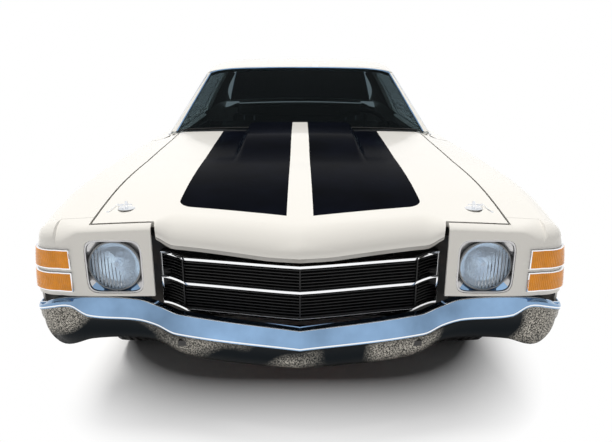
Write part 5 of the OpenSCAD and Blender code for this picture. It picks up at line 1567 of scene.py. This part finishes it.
def gauges():
    s = Solid()
    y = DOOR_FRONT + 302
    for x, z, r in ((330, 800, 46), (480, 800, 46), (240, 790, 26), (565, 805, 24), (565, 750, 24)):
        s.lathe([(r - 4, -2), (r + 3, -2), (r + 4, 4), (r, 8), (r - 4, 6)], (x, y, z), "y", 40, 1)
        s.lathe([(0.01, -2), (r - 3, -2), (r - 3, 2), (0.01, 2)], (x, y, z), "y", 40, 0)
    for x0, x1, z in ((-640, -180, 772), (-150, 150, 772)):
        s.box((x0, y - 2, z), (x1, y + 5, z + 9), 1)
    s.box((-120, y - 2, 800), (120, y + 4, 850), 0)
    s.make("dash_gauges", "root", "interior_plastic", [black_paint, satin_steel], 1.2, 40)


seats()
steering()
gauges()


# ---- Floor, light and camera ----
def floor():
    mesh = bpy.data.meshes.new("studio_floor")
    size = 60.0
    mesh.from_pydata([(-size, -size, 0), (size, -size, 0), (size, size, 0), (-size, size, 0)], [],
                     [(0, 1, 2, 3)])
    obj = bpy.data.objects.new("studio_floor", mesh)
    bpy.context.scene.collection.objects.link(obj)
    obj.location.z = -0.0005
    m, tree, b = shader("studio_floor")
    b.inputs["Base Color"].default_value = (0.93, 0.93, 0.93, 1)
    b.inputs["Roughness"].default_value = 0.9
    b.inputs["Specular IOR Level"].default_value = 0.0
    mesh.materials.append(m)
    # The far floor blends into the white background
    coord = tree.nodes.new("ShaderNodeTexCoord")
    xyz = tree.nodes.new("ShaderNodeSeparateXYZ")
    tree.links.new(coord.outputs["Object"], xyz.inputs[0])
    across = maths(tree, "POWER", maths(tree, "DIVIDE", maths(tree, "ABSOLUTE", xyz.outputs["X"]), 1.15),
                   4.0)
    along = maths(tree, "POWER", maths(tree, "DIVIDE", maths(tree, "ABSOLUTE", xyz.outputs["Y"]), 2.4), 4.0)
    far = ranged(tree, maths(tree, "POWER", maths(tree, "ADD", across, along), 0.25), 0, 1, 0.84, 1.06)
    glow = node(tree, "ShaderNodeEmission", Strength=1.0)
    glow.inputs["Color"].default_value = (1, 1, 1, 1)
    path = tree.nodes.new("ShaderNodeLightPath")
    seen = maths(tree, "MULTIPLY", far, path.outputs["Is Camera Ray"])
    mixer = tree.nodes.new("ShaderNodeMixShader")
    tree.links.new(seen, mixer.inputs[0])
    tree.links.new(b.outputs[0], mixer.inputs[1])
    tree.links.new(glow.outputs[0], mixer.inputs[2])
    tree.links.new(mixer.outputs[0], tree.nodes["Material Output"].inputs["Surface"])


def light():
    world = bpy.data.worlds.new("studio")
    bpy.context.scene.world = world
    world.use_nodes = True
    tree = world.node_tree
    tree.nodes.clear()
    out = tree.nodes.new("ShaderNodeOutputWorld")
    ambient = node(tree, "ShaderNodeBackground", Strength=0.12)
    white = node(tree, "ShaderNodeBackground", Strength=1.0)
    ambient.inputs["Color"].default_value = (0.97, 0.98, 1.0, 1)
    white.inputs["Color"].default_value = (1, 1, 1, 1)
    path = tree.nodes.new("ShaderNodeLightPath")
    direct = maths(tree, "MAXIMUM",
                   maths(tree, "MAXIMUM", path.outputs["Is Camera Ray"], path.outputs["Is Glossy Ray"]),
                   path.outputs["Is Transmission Ray"])
    mixer = tree.nodes.new("ShaderNodeMixShader")
    tree.links.new(direct, mixer.inputs[0])
    tree.links.new(ambient.outputs[0], mixer.inputs[1])
    tree.links.new(white.outputs[0], mixer.inputs[2])
    tree.links.new(mixer.outputs[0], out.inputs["Surface"])
    lamp = bpy.data.lights.new("key", "SUN")
    lamp.energy = 3.6
    lamp.angle = math.radians(30)
    lamp.color = (1.0, 0.985, 0.96)
    o = bpy.data.objects.new("key", lamp)
    o.rotation_euler = (math.radians(-7), math.radians(-8), 0)
    o.visible_glossy = False
    bpy.context.scene.collection.objects.link(o)


def camera():
    cam = bpy.data.cameras.new("photo_camera")
    cam.sensor_fit = "HORIZONTAL"
    cam.sensor_width = 36.0
    cam.lens = 32.2412
    cam.shift_x = 0.0098
    cam.clip_start, cam.clip_end = 0.05, 200
    o = bpy.data.objects.new("photo_camera", cam)
    o.location = (0, -4.130, 1.360)
    o.rotation_euler = (math.radians(90 - 16.76), 0, 0)
    bpy.context.scene.collection.objects.link(o)
    bpy.context.scene.camera = o


floor()
light()
camera()
bpy.context.scene.view_settings.view_transform = "Standard"
